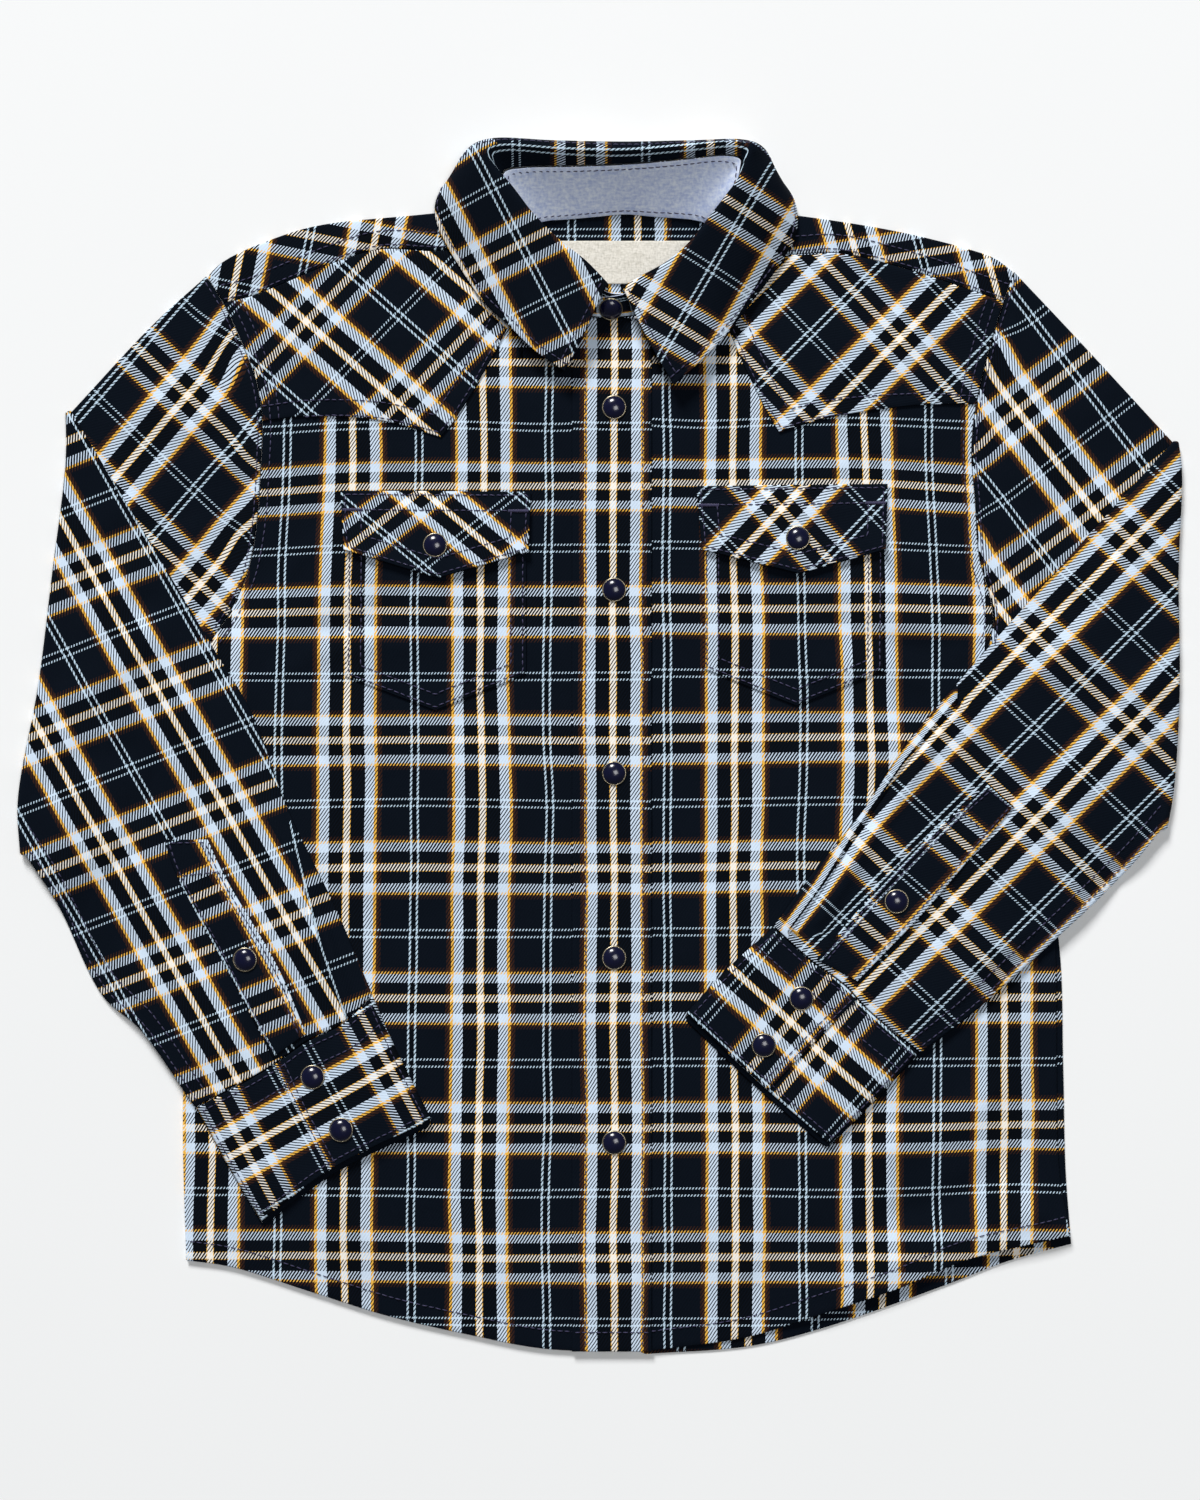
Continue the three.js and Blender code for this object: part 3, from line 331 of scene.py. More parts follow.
SLEEVE_CREASES = rows(
    "x1 y1 x2 y2 bend half height",
    (-162, 148, -186, 132, 3, 4, -0.9),
    (-164, 112, -198, 96, -4, 5, -1.0),
    (-170, 88, -206, 62, 4, 5, -0.9),
    (-172, 136, -214, 158, 5, 6, 0.5),
    (-196, 150, -232, 128, -4, 7, 0.4),
    (-234, 64, -206, 96, 5, 6, -0.7),
    (-244, 20, -206, 46, -5, 7, 0.6),
    (-250, -18, -214, -2, 4, 6, -0.6),
    (-236, -60, -200, -34, 5, 6, 0.5),
    (-214, -84, -196, -112, 4, 5, -0.5),
    (-147, -16, -118.5, -122, -1.5, 2.6, -2.4),
    (-143, -18, -114, -124, -1.5, 3.2, 1.1),
    (-178, -62, -158, -128, -4, 4, -0.6),
    (-190, -96, -168, -134, 4, 5, 0.5),
    (166, 146, 190, 130, -3, 4, -0.8),
    (168, 108, 202, 94, 4, 5, -0.9),
    (172, 84, 208, 60, -4, 5, -0.8),
    (176, 134, 216, 156, -5, 6, 0.5),
    (240, 60, 208, 92, -5, 6, -0.6),
    (246, 24, 204, 44, 5, 7, 0.5),
    (240, -14, 206, 4, -4, 6, -0.6),
    (222, -50, 186, -28, -5, 6, 0.5),
    (132, 0, 82, -75, 0, 2.8, -2.6),
    (139, 0, 90, -76, 0, 3.2, 1.0),
    (190, -78, 150, -108, -4, 5, 0.5),
    (150, -60, 118, -96, 4, 4, -0.5),
)

# How far inside its outline each form of a panel reaches its full height.
FOLDS_FULL, CREASES_FULL, WAVES_FULL = 14, 9, 20
BODY_WAVE, BODY_WAVE_LENGTH = 0.25, 46
# An upper arm lies flatter: the shares of its folds and creases, and where they are full.
ARM_FOLDS, ARM_FOLDS_FULL = 0.5, 30
ARM_CREASES, ARM_CREASES_FULL = 0.7, 16
# The gathers at the head of a sleeve: their height, length and reach.
GATHER, GATHER_LENGTH, GATHER_REACH = 0.35, 7, 9

# The collar's sections, from the left front round the back to the right front. Tab sections
# hold only the stand.
COLLAR = rows(
    "place neck_x neck_y neck_z crest_x crest_y crest_z edge_x edge_y edge_z",
    ("tab", 13, 189, 3.5, 12, 200.5, 11.6, 0, 0, 0),
    ("left", -3, 189.4, 3.5, -3, 201, 12.6, -21.5, 163.5, 12),
    ("left", -15, 191.5, 3.5, -12, 210.5, 15, -35, 173, 11.5),
    ("left", -30, 198.5, 3.3, -22.5, 218.5, 16.6, -46, 184, 9),
    ("left", -39.5, 206, 3.2, -30, 225.5, 18, -57, 194.5, 6.5),
    ("left", -43.6, 214, 3.2, -37.5, 233.5, 19.2, -68, 211, 4.5),
    ("left", -43, 221.5, 3.2, -45, 242.5, 20.2, -76, 225, 4),
    ("left", -40, 226.5, 2.7, -52, 250.5, 20.8, -78, 238, 3),
    ("left", -35, 229.5, 2.6, -56, 256.5, 21.2, -70.5, 250.5, 2),
    ("left", -29, 231, 1.9, -56, 260.5, 21.4, -62, 258.5, 1.2),
    ("back", -22, 231.6, 1.4, -49, 262.2, 21.4, -50, 261.5, 0.7),
    ("back", -9, 232.8, 1.4, -24, 260.5, 21.4, -25, 260.5, 0.6),
    ("back", 5, 234, 1.4, 5, 259.4, 21.4, 5, 259.4, 0.6),
    ("back", 17, 233, 1.4, 31, 260.5, 21.4, 32, 260.5, 0.6),
    ("back", 28, 232.2, 1.4, 53, 261.6, 21.4, 54, 261, 0.7),
    ("right", 34, 231.5, 1.9, 59, 259.8, 21.4, 64, 258, 1.2),
    ("right", 40, 230, 2.6, 58, 254.5, 21.2, 72, 249, 2),
    ("right", 45.5, 227, 2.7, 55, 246.5, 20.8, 79, 238, 3),
    ("right", 48.8, 222, 3.2, 49.5, 239, 20.2, 79.5, 224.5, 4),
    ("right", 49.6, 214, 3.2, 42, 230, 19.2, 71.5, 210, 4.5),
    ("right", 45.5, 206, 3.2, 33.5, 219.5, 18, 60.5, 195, 6.5),
    ("right", 36, 198.5, 3.3, 23, 210.5, 16.4, 48.5, 179.5, 9),
    ("right", 22, 191.5, 4.3, 12, 204.5, 14.8, 38, 168.5, 11.5),
    ("right", 6, 188, 5.2, 3.5, 200, 13, 26, 157.5, 12),
    ("tab", -13, 187.9, 5.2, -12.2, 198, 11.6, 0, 0, 0),
)
STAND_LAYERS = (0, 0.45, 0.55, WALL)  # depths of the outside's and the lining's faces
STAND_TOP = (0.69, 0.86)  # share of the inner height that the lining covers, left and right

# Pointed patches: top left, top right, side left, side right, point.
ROUND_THE_POINT = [0, 2, 4, 3, 1]  # their corners, anticlockwise
POCKETS = {
    "left": points((-117.5, 100), (-38.5, 100), (-118, 30.5), (-38.5, 31.5), (-78.5, 15.5)),
    "right": points((39, 102), (118.5, 102), (39, 34), (118, 33), (80, 17.5)),
}
FLAPS = {
    "left": points((-120, 112), (-36.5, 111.5), (-118.5, 86), (-37.5, 85), (-77.5, 73.5)),
    "right": points((36, 114), (120, 115), (38.5, 86), (119, 86), (81, 75.5)),
}
LEAF_ENDS = (-52.5, 56.0)  # where the leaf's turned sides meet the strip behind the neck
BACK_CREST = 259.0
STRIP_START = -14.5
STRIP_DOTS = ((-56, 0, 56), (3.7, 2.4, 0.6))  # the dotted pair's place under the strip's crest
FLAP_LIFT = 1.3
LABEL_LEFT, LABEL_RIGHT = -24.0, 38.0
LABEL_FOOT, LABEL_TOP = 203.0, 222.0
LABEL_TAPE = 0.7

# Where the check lies on each piece: the point (x, y) has the given share (at) of a repeat in
# both ways. The warp repeats after each step (warp_x, warp_y), and the weft after each step
# (weft_x, weft_y).
GRAINS = rows(
    "name x y at warp_x warp_y weft_x weft_y",
    ("upper_left", -187.4, 154.0, 0, 42.6, -40.7, 37.2, 42.3),
    ("lower_left", -172.0, -25.1, 0, 50.6, 19.8, -28.7, 50.6),
    ("upper_right", 177.3, 147.4, 0, 46.5, 36.3, -33.4, 44.0),
    ("lower_right", 226.6, 8.8, 0, 42.7, -39.6, 42.7, 41.4),
    ("yoke_left", -135.2, 186.3, 0, 40.4, 41.6, -40.6, 36.3),
    ("yoke_right", 125.3, 178.6, 0, 40.4, -41.7, 38.3, 37.7),
    ("flap_left", -84.5, 112.4, 0, 40.4, 32.5, -42.4, 35.7),
    ("flap_right", 73.3, 103.8, 0, 40.3, -42.9, 38.2, 39.5),
    ("sleeve_placket_left", -214.9, -79.7, 0, 54.6, 23.1, -27.7, 49.3),
    ("sleeve_placket_right", 122.1, -15.8, 0, 44.4, -38.9, 38.2, 40.0),
    ("cuff_left", -162.0, -176.4, 0, 28.1, -51.8, 46.8, 26.3),
    ("cuff_left_lap", -98.3, -140.7, 0, 28.1, -51.8, 46.8, 26.3),
    ("cuff_right", 88.7, -132.8, 0, -37.7, -43.6, 42.4, -38.5),
    ("cuff_right_lap", 77.2, -120.7, 0, -37.7, -43.6, 42.4, -38.5),
    ("leaf_left", -53.2, 242.7, 0.5, 49.7, 23.7, -25.0, 48.1),
    ("leaf_right", 42.5, 207.8, 0.5, 46.2, -27.4, 29.2, 49.6),
    ("shoulder_left", -105.9, 218.5, 0, 55.4, -11.3, 11.3, 55.2),
    ("shoulder_right", 107.5, 212.0, 0, 54.6, 8.6, -15.8, 54.1),
    ("neck_inside", -18.7, 225.7, 0.5, 58.2, 0, 0, 56),
    ("back", 0, 2.6, 0, 59, 0, 0, 56.3),
)
GRAIN = {row.name: row for row in GRAINS}
# A forearm's long pleat hides a strip of cloth: beyond its line, on the given side, the warp
# starts again at a share of its repeat and runs along the line, squeezed together.
Pleat = namedtuple("Pleat", "line side at weft_shift squeeze")
PLEATS = {
    "left": Pleat(
        points(
            (-150, 4), (-143.6, -28.2), (-136, -60), (-128.5, -88.8), (-119.3, -115.3), (-114, -126.6),
        ),
        1, 0.519, -0.045, 1,
    ),
    # The right strip's start share puts the check's dark shade yarn right at the groove. This is partly the
    # cloth's own stripe order and partly painted shade that deepens the groove.
    "right": Pleat(
        points((150, 20), (127.7, -6.2), (107.1, -35.8), (90.9, -61.8), (76, -82)), -1, -0.105, 0, 1.8,
    ),
}
# Beside the right forearm's pleat the check bends to follow it: the share of the warp's repeat
# at the line, by height, and how far the bend reaches.
BEND_AT_PLEAT = points((20, -0.08), (-6, -0.03), (-36, 0.093), (-62, 0.127), (-82, 0.14))
BEND_REACH = 16.0
# A pleat rises to its line and drops just beyond it: depth and height, and their reach.
PLEAT_DEPTH, PLEAT_RISE = 3.0, 1.1
GROOVE_AT, GROOVE_HALF, RISE_HALF = 0.9, 0.8, 4.5
PLEAT_COLUMN = 9  # the column of a forearm's grid that follows its pleat
PLEAT_SHOWS = 0.02  # the least share of the forearm's width at which it is folded
# The right forearm's lower edge shows the next stripe: the share of a repeat, how far it
# reaches, and the heights between which it does.
EDGE_BEND, EDGE_REACH = 0.085, 8.0
EDGE_TOP, EDGE_FOOT = 8, -122
# Where an upper arm's check is drawn up into the armhole: a place, how far it reaches, how much.
ARM_PULLS = {
    "left": rows(
        "x y reach lift", (-164, 172, 11, 7), (-170, 188, 9, 3), (-160, 128, 9, -2.5), (-164, 92, 9, 3),
    ),
    "right": rows("x y reach lift", (168, 176, 10, 5), (160, 132, 9, -2.5), (164, 96, 9, 3)),
}
# Where a front's check is pulled up or down: a place, how far it reaches, and how much.
PULLS = {
    "left": rows(
        "x y reach_x reach_y lift",
        (-162, 118, 34, 42, -3.4), (-30, 138, 26, 14, -1.4), (-110, 62, 40, 20, 0.9),
        (-150, -150, 30, 40, 1.2), (-60, -210, 36, 24, -1.0), (-100, -40, 40, 24, 0.8),
    ),
    "right": rows(
        "x y reach_x reach_y lift",
        (160, 112, 34, 40, -2.8), (38, 138, 22, 14, -1.2), (112, 60, 34, 20, 0.8),
        (176, -190, 30, 30, 1.8), (90, -200, 34, 26, -1.0), (70, -60, 30, 30, 0.8),
    ),
    "placket": rows("x y reach_x reach_y lift", (0, 150, 30, 30, -0.8), (0, -60, 30, 60, 0.5)),
}
# The fronts hang straight, so their check is charted by where its cream stripes lie.
WEFT_LINES = points(
    (224.0, 4), (168.1, 3), (114.2, 2), (58.6, 1), (2.6, 0), (-54.0, -1), (-110.8, -2), (-167.6, -3),
    (-224.4, -4), (-281.2, -5),
)
WARP_LINES = {
    "left": rows(
        "y x0 step", (240, -57.0, 57.4), (130, -57.4, 57.7), (73, -58.2, 58.7), (-191, -59.4, 59.0),
    ),
    "right": rows(
        "y x0 step", (240, 51.6, 57.4), (130, 51.9, 57.7), (73, 52.8, 58.7), (-191, 53.2, 59.0),
    ),
    "placket": rows("y x0 step", (240, 0.1, 59.0), (-191, -0.2, 59.0)),
}
RIGHT_WEFT_SHIFT = points((240, 1.6), (70, 1.5), (-110, 0.5), (-224, 0))

SNAPS = rows(
    "name x y rests_on",
    ("snap_front_1", 0, 148.5, "front_placket"),
    ("snap_front_2", 0, 68.5, "front_placket"),
    ("snap_front_3", 0, -12, "front_placket"),
    ("snap_front_4", 0, -93, "front_placket"),
    ("snap_front_5", 0, -174, "front_placket"),
    ("snap_pocket_left", -78.5, 88, "flap_left"),
    ("snap_pocket_right", 80.5, 91, "flap_right"),
    ("snap_cuff_left_1", -132, -145, "cuff_left"),
    ("snap_cuff_left_2", -119.5, -168, "cuff_left"),
    ("snap_cuff_right_1", 82, -110.5, "cuff_right"),
    ("snap_cuff_right_2", 65.5, -131, "cuff_right"),
    ("snap_sleeve_left", -161.5, -93.5, "sleeve_placket_left"),
    ("snap_sleeve_right", 123.5, -68, "sleeve_placket_right"),
)
STAND_SNAP_LEAN = 0.57
SNAP_DOME = points(
    (0, 2.5), (1.3, 2.4), (2.6, 2.1), (3.7, 1.6), (4.5, 1.0), (4.85, 0.55), (4.7, 0.2), (0, 0.1),
)
SNAP_RIM = points(
    (4.7, 0.05), (5.05, 0), (5.3, 0.2), (5.32, 0.45), (5.15, 0.65), (4.95, 0.7), (4.85, 0.55), (4.75, 0.3),
)
SNAP_LIFT = 0.05

# A stitch: its section, and along it the share of its reach, of its width and of its height.
STITCH_SECTION = points((0, 0.5), (0.5, 0.16), (0.34, -0.4), (-0.34, -0.4), (-0.5, 0.16))
STITCH_STATIONS = ((-1, 0.35, -0.5), (-0.72, 0.9, 0.1), (0, 1.05, 0.3), (0.72, 0.9, 0.1), (1, 0.35, -0.5))

# The stage: the camera looks straight down, at the photograph's scale and centre.
PHOTO_LEFT, PHOTO_RIGHT = -270.2, 257.8
PHOTO_FOOT, PHOTO_TOP = -331.8, 328.2
CAMERA_HEIGHT = 1600.0
SENSOR = 36.0
FLOOR_REACH, FLOOR_DROP = 3000.0, 0.02
CORNER_SIGNS = ((-1, -1), (1, -1), (1, 1), (-1, 1))
LAMPS = rows(
    "name place size power",
    ("window", (-2600, 8500, 6000), 3.0, 1220),
    ("room", (600, 250, 3600), 1.3, 43),
)
ROOM_COLOUR = (0.93, 0.96, 1, 1)
ROOM_STRENGTH = 0.1

# Finishes: the scales of their noise, bump strengths with their depth in metres, and how far each
# yarn or metal is lightened, darkened or mixed.
WANDER_NOISE, WANDER = 30, 0.25
CLOUD_NOISE, FUZZ_NOISE, STREAK_NOISE = 90, 2600, 1500
THREAD_NOISE, RIM_NOISE, FLOOR_NOISE = 3200, 900, 6
FIBRES, CLOUDS = (0.05, -0.01), (0.2, 0.9)
WALE_HEIGHT, FUZZ_HEIGHT = 0.7, 0.5
TWILL_BUMP, WEAVE_BUMP = (0.35, 0.0002), (0.4, 0.00025)
TWILL_SHINE = {"Roughness": 0.88, "Specular IOR Level": 0.05}
WEAVE_SHINE = {"Roughness": 0.9, "Sheen Weight": 0.1}
ENAMEL_SHINE = {"Coat Weight": 0.8, "Coat Roughness": 0.17, "Specular IOR Level": 0.15}
ENAMEL_ROUGHNESS = (0.12, 0.14)
SLUB_STRETCHES, STREAK_STRETCH = ((1, 0.35, 1), (0.35, 1, 1)), (1, 0.2, 1)
THREAD_PALER, THREAD_LIFT = 1.9, 0.01
ENAMEL_DEEP, RIM_DULL, FLOOR_SHADE = 0.55, 0.6, 0.985

# Small unevenness: of any wave, of the check's lines in repeats, of the stitches and beside seams.
WAVE_LENGTHS, WAVE_HEIGHT = (0.7, 1.6), 1.4
WARP_WANDER_WIDE, WARP_WANDER_FINE, WEFT_WANDER = 0.012, 0.006, 0.008
STITCH_SWAY, STITCH_LENGTHS, STITCH_LIFTS = 0.05, (0.88, 1.08), (0.3, 0.5)
PUCKER_LENGTH, PUCKER_START = 8.5, 1.5
LABEL_SINK, LABEL_WAVE = 0.2, 0.12


# Curves, as functions of the share of the length from 0 to 1, for arrays of shares.
def along(line):
    steps = np.linalg.norm(np.diff(line, axis=0), axis=1)
    share = np.concatenate([[0], np.cumsum(steps)]) / steps.sum()

    def curve(t):
        t = np.clip(np.asarray(t, float), 0, 1)
        return np.stack([np.interp(t, share, line[:, k]) for k in range(line.shape[1])], axis=-1)

    return curve


def rounded_line(corners):
    """Points of a centripetal Catmull-Rom curve through the corners."""
    corners = np.asarray(corners, float)
    padded = np.vstack([2 * corners[0] - corners[1], corners, 2 * corners[-1] - corners[-2]])
    knots = np.sqrt(np.linalg.norm(np.diff(padded, axis=0), axis=1))
    t = np.linspace(0, 1, CURVE_FINENESS, endpoint=False)[:, None]
    stretches = []
    for i in range(len(corners) - 1):
        p0, p1, p2, p3 = padded[i : i + 4]
        d0, d1, d2 = knots[i : i + 3]
        leave = ((p1 - p0) / d0 - (p2 - p0) / (d0 + d1) + (p2 - p1) / d1) * d1
        arrive = ((p2 - p1) / d1 - (p3 - p1) / (d1 + d2) + (p3 - p2) / d2) * d1
        square = -3 * p1 + 3 * p2 - 2 * leave - arrive
        cube = 2 * p1 - 2 * p2 + leave + arrive
        stretches.append(p1 + leave * t + square * t**2 + cube * t**3)
    return np.vstack(stretches + [corners[-1:]])


def smooth(corners):
    return along(rounded_line(corners))


def straight(a, b):
    a, b = np.asarray(a, float), np.asarray(b, float)
    return lambda t: a + (b - a) * np.asarray(t, float)[..., None]


def part(line, start, end):
    return lambda t: line(start + (end - start) * np.asarray(t, float))


def ending_at(line, first=None, last=None):
    start = 0 if first is None else first - line(0.0)
    end = 0 if last is None else last - line(1.0)

    def curve(t):
        t = np.asarray(t, float)[..., None]
        return line(t[..., 0]) + start * (1 - t) + end * t

    return curve


def joined(*stretches):
    """Curves end to end, each with its own number of steps."""
    total = sum(steps for _, steps in stretches)

    def curve(t):
        place = np.asarray(t, float) * total
        result = np.zeros(place.shape + (2,))
        start = 0
        for line, steps in stretches:
            reached = place >= start - 1e-9
            result = np.where(reached[..., None], line((place - start) / steps), result)
            start += steps
        return result

    return curve


def patch(top, bottom, left, right):
    """A surface between four edges. U runs from left to right and v from top to bottom."""
    corners = [line(end) for line in (top, bottom) for end in (0.0, 1.0)]

    def surface(u, v):
        a, b = u[..., None], v[..., None]
        point = top(u) * (1 - b) + bottom(u) * b + left(v) * (1 - a) + right(v) * a
        point -= corners[0] * (1 - a) * (1 - b) + corners[1] * a * (1 - b)
        return point - corners[2] * (1 - a) * b - corners[3] * a * b

    return surface


def grid(columns, row_count):
    return np.meshgrid(np.linspace(0, 1, columns + 1), np.linspace(0, 1, row_count + 1))


def unit(vectors):
    return vectors / np.maximum(np.linalg.norm(vectors, axis=-1, keepdims=True), 1e-9)


def turned_left(plan):
    return np.stack([-plan[..., 1], plan[..., 0]], axis=-1)


def with_height(plan, z):
    return np.concatenate([plan[..., :2], np.broadcast_to(z, plan.shape[:-1])[..., None]], axis=-1)


# Distances in plan.
def stretch_distance(x, y, a, b):
    dx, dy = b[0] - a[0], b[1] - a[1]
    length_squared = dx * dx + dy * dy or 1.0
    t = np.clip(((x - a[0]) * dx + (y - a[1]) * dy) / length_squared, 0, 1)
    return np.hypot(x - a[0] - t * dx, y - a[1] - t * dy)


def beyond(x, y, outline):
    """Distance past an outline, below nought inside it."""
    nearest = np.full(np.shape(x), np.inf)
    inside = np.zeros(np.shape(x), bool)
    for a, b in zip(outline, np.roll(outline, -1, axis=0)):
        nearest = np.minimum(nearest, stretch_distance(x, y, a, b))
        if a[1] != b[1]:
            crossing = a[0] + (y - a[1]) / (b[1] - a[1]) * (b[0] - a[0])
            inside ^= ((a[1] > y) != (b[1] > y)) & (x < crossing)
    return np.where(inside, -nearest, nearest)


def rise(distance, run):
    t = np.clip(np.asarray(distance, float) / run, 0, 1)
    return t * t * (3 - 2 * t)


def folds(table, x, y):
    """The height of a table's folds, each a soft ridge or trough along its line."""
    total = np.zeros(np.shape(x))
    for fold in table:
        a = np.array([fold.x1, fold.y1], float)
        b = np.array([fold.x2, fold.y2], float)
        aside = np.array([a[1] - b[1], b[0] - a[0]]) / np.linalg.norm(b - a) * fold.bend
        shares = np.linspace(0, 1, FOLD_BENDS if fold.bend else 2)
        line = [a + (b - a) * t + aside * 4 * t * (1 - t) for t in shares]
        distance = np.full(np.shape(x), np.inf)
        for start, end in zip(line, line[1:]):
            distance = np.minimum(distance, stretch_distance(x, y, start, end))
        total += fold.height * np.exp(-((distance / fold.half) ** 2))
    return total


def unevenness(x, y, scale, seed):
    """Soft irregular waves between -1 and 1, with about the given length."""
    draw = np.random.default_rng(seed)
    total = np.zeros(np.shape(x))
    waves = 7
    for _ in range(waves):
        angle, phase = draw.uniform(0, 2 * math.pi, 2)
        rate = 2 * math.pi / (scale * draw.uniform(*WAVE_LENGTHS))
        total += np.sin((x * math.cos(angle) + y * math.sin(angle)) * rate + phase)
    return total / math.sqrt(waves) / WAVE_HEIGHT


# The shirt's lines in plan.
armhole, side_seam, shoulder, neckline, hem = (
    {side: smooth(line) for side, line in table.items()}
    for table in (ARMHOLE, SIDE_SEAM, SHOULDER, NECKLINE, HEM)
)
forward_seam = {
    "left": ending_at(smooth(FORWARD_SEAM["left"]), first=armhole["left"](1 / ARM_STEPS)),
    "right": ending_at(smooth(FORWARD_SEAM["right"]), last=armhole["right"](1 / ARM_STEPS)),
}


def sampled(line, count, backwards=False):
    shares = np.linspace(0, 1, count + 1)
    return line(shares[::-1] if backwards else shares)


BODY_OUTLINE = np.vstack(
    [
        sampled(forward_seam["left"], SHOULDER_COLUMNS),
        sampled(neckline["left"], NECK_COLUMNS),
        sampled(neckline["right"], NECK_COLUMNS),
        sampled(forward_seam["right"], SHOULDER_COLUMNS),
        sampled(part(armhole["right"], 1 / ARM_STEPS, 1), ARM_STEPS),
        sampled(side_seam["right"], SIDE_STEPS),
        sampled(hem["right"], SHOULDER_COLUMNS, backwards=True),
        sampled(hem["left"], SHOULDER_COLUMNS, backwards=True),
        sampled(side_seam["left"], SIDE_STEPS, backwards=True),
        sampled(part(armhole["left"], 1 / ARM_STEPS, 1), ARM_STEPS, backwards=True),
    ]
)
UPPER_ARMS = {
    side: np.vstack(
        [
            sampled(smooth(SLEEVES[side].over_upper), 3),
            sampled(smooth(SLEEVES[side].crease), 6),
            sampled(smooth(SLEEVES[side].under_upper), 3, backwards=True),
            sampled(armhole[side], 6, backwards=True),
        ]
    )
    for side in SIDES
}


# Heights.
def body_relief(x, y):
    """How far a front rises above flat."""
    sizes = bpy.context.scene.shirt_sizes
    depth = -beyond(x, y, BODY_OUTLINE)
    soft = sizes.puff * rise(depth, sizes.puff_fade) + folds(BODY_FOLDS, x, y) * rise(depth, FOLDS_FULL)
    creased = folds(BODY_CREASES, x, y) * rise(depth, CREASES_FULL) * sizes.crease_depth
    waves = BODY_WAVE * unevenness(x, y, BODY_WAVE_LENGTH, seed=3) * rise(depth, WAVES_FULL)
    return np.maximum(0, soft + creased + waves)


def body_top(x, y):
    return LAYER + WALL + body_relief(x, y)


def on_front(layers):
    return lambda x, y: body_top(x, y) + GAP + layers * LAYER


def upper_arm_relief(x, y, distance):
    sizes = bpy.context.scene.shirt_sizes
    soft = folds(SLEEVE_FOLDS, x, y) * ARM_FOLDS * rise(-distance, ARM_FOLDS_FULL)
    creased = folds(SLEEVE_CREASES, x, y) * ARM_CREASES * rise(-distance, ARM_CREASES_FULL)
    return soft + creased * sizes.crease_depth


def forearm_seat(x, y):
    """Height of whatever a forearm rests on, run out to the floor past its edge."""

    def shelf(distance):
        return 1 - rise(distance - DRAPE_SHELF, DRAPE_RUN)

    seat = (body_top(x, y) + SEAT) * shelf(beyond(x, y, BODY_OUTLINE))
    for outline in UPPER_ARMS.values():
        distance = beyond(x, y, outline)
        arm = FLAT_TUBE + 2 * CREASE_RADIUS + np.maximum(0, upper_arm_relief(x, y, distance))
        seat = np.maximum(seat, arm * shelf(distance))
    return seat


def forearm_relief(x, y, across, down):
    sizes = bpy.context.scene.shirt_sizes
    soft = sizes.sleeve_puff + folds(SLEEVE_FOLDS, x, y)
    creased = folds(SLEEVE_CREASES, x, y) * sizes.crease_depth
    held = rise(across * (1 - across), 0.2) * rise(down, 0.2) * (0.35 + 0.65 * rise(1 - down, 0.15))
    fine = creased * rise(across * (1 - across), 0.09) * rise(down, 0.1)
    return np.maximum(0, soft * held + fine)


# Where the check lies.
def grain_uv(name, plan):
    """Repeats of the warp and of the weft at points in plan."""
    grain = GRAIN[name]
    basis = np.array([[grain.warp_x, grain.weft_x], [grain.warp_y, grain.weft_y]])
    offset = plan[..., :2] - np.array([grain.x, grain.y])
    return offset @ np.linalg.inv(basis).T + grain.at


def polyline_distance(x, y, line):
    found = np.full(np.shape(x), np.inf)
    for a, b in zip(line, line[1:]):
        found = np.minimum(found, stretch_distance(x, y, a, b))
    return found


def upper_arm_uv(side, plan):
    """An upper arm's check, drawn up or down in places beside the armhole."""
    moved = plan[..., :2].copy()
    for pull in ARM_PULLS[side]:
        away = np.hypot(plan[..., 0] - pull.x, plan[..., 1] - pull.y) / pull.reach
        moved[..., 1] -= pull.lift * np.exp(-(away**2))
    return grain_uv("upper_" + side, moved)


def forearm_uv(side, plan):
    """A forearm's check; the right one's bends beside its pleat and along its lower edge."""
    uv = grain_uv("lower_" + side, plan)
    if side == "left":
        return uv
    x, y = plan[..., 0], plan[..., 1]
    line = PLEATS[side].line
    distance = polyline_distance(x, y, line)
    bent = np.interp(y, BEND_AT_PLEAT[::-1, 0], BEND_AT_PLEAT[::-1, 1]) + distance / WARP_REPEAT
    bent += (uv[..., 0] - bent).round()
    near = (1 - rise(distance, BEND_REACH)) * (y > line[-1, 1]) * (y < line[0, 1])
    uv[..., 0] += (bent - uv[..., 0]) * near
    low = polyline_distance(x, y, SLEEVES[side].under_lower)
    reach = np.exp(-((low / EDGE_REACH) ** 2)) * rise(EDGE_TOP - y, 30) * rise(y - EDGE_FOOT, 24)
    uv[..., 0] += EDGE_BEND * reach
    return uv


def pleat_uv(side, plan):
    """The strip beyond a forearm's pleat, whose warp runs along the pleat's line."""
    uv = grain_uv("lower_" + side, plan)
    pleat = PLEATS[side]
    distance = polyline_distance(plan[..., 0], plan[..., 1], pleat.line)
    uv[..., 0] = pleat.at + pleat.side * pleat.squeeze * distance / WARP_REPEAT
    uv[..., 1] += pleat.weft_shift
    return uv


def front_uv(name, plan):
    """A front's check, from its charted stripes and with its pulls."""
    x, y = plan[..., 0], plan[..., 1]
    table = WARP_LINES[name][::-1]
    heights = [row.y for row in table]
    x0 = np.interp(y, heights, [row.x0 for row in table])
    step = np.interp(y, heights, [row.step for row in table])
    lift = np.interp(y, RIGHT_WEFT_SHIFT[::-1, 0], RIGHT_WEFT_SHIFT[::-1, 1])
    level = y - (lift if name == "right" else 0)
    for pull in PULLS[name]:
        away = ((x - pull.x) / pull.reach_x) ** 2 + ((y - pull.y) / pull.reach_y) ** 2
        level = level - pull.lift * np.exp(-away)
    wander = WARP_WANDER_WIDE * unevenness(x, y, 120, 11)
    u = (x - x0) / step + wander + WARP_WANDER_FINE * unevenness(x, y, 45, 13)
    v = np.interp(level, WEFT_LINES[::-1, 0], WEFT_LINES[::-1, 1])
    return np.stack([u, v + WEFT_WANDER * unevenness(x, y, 110, 12)], axis=-1)


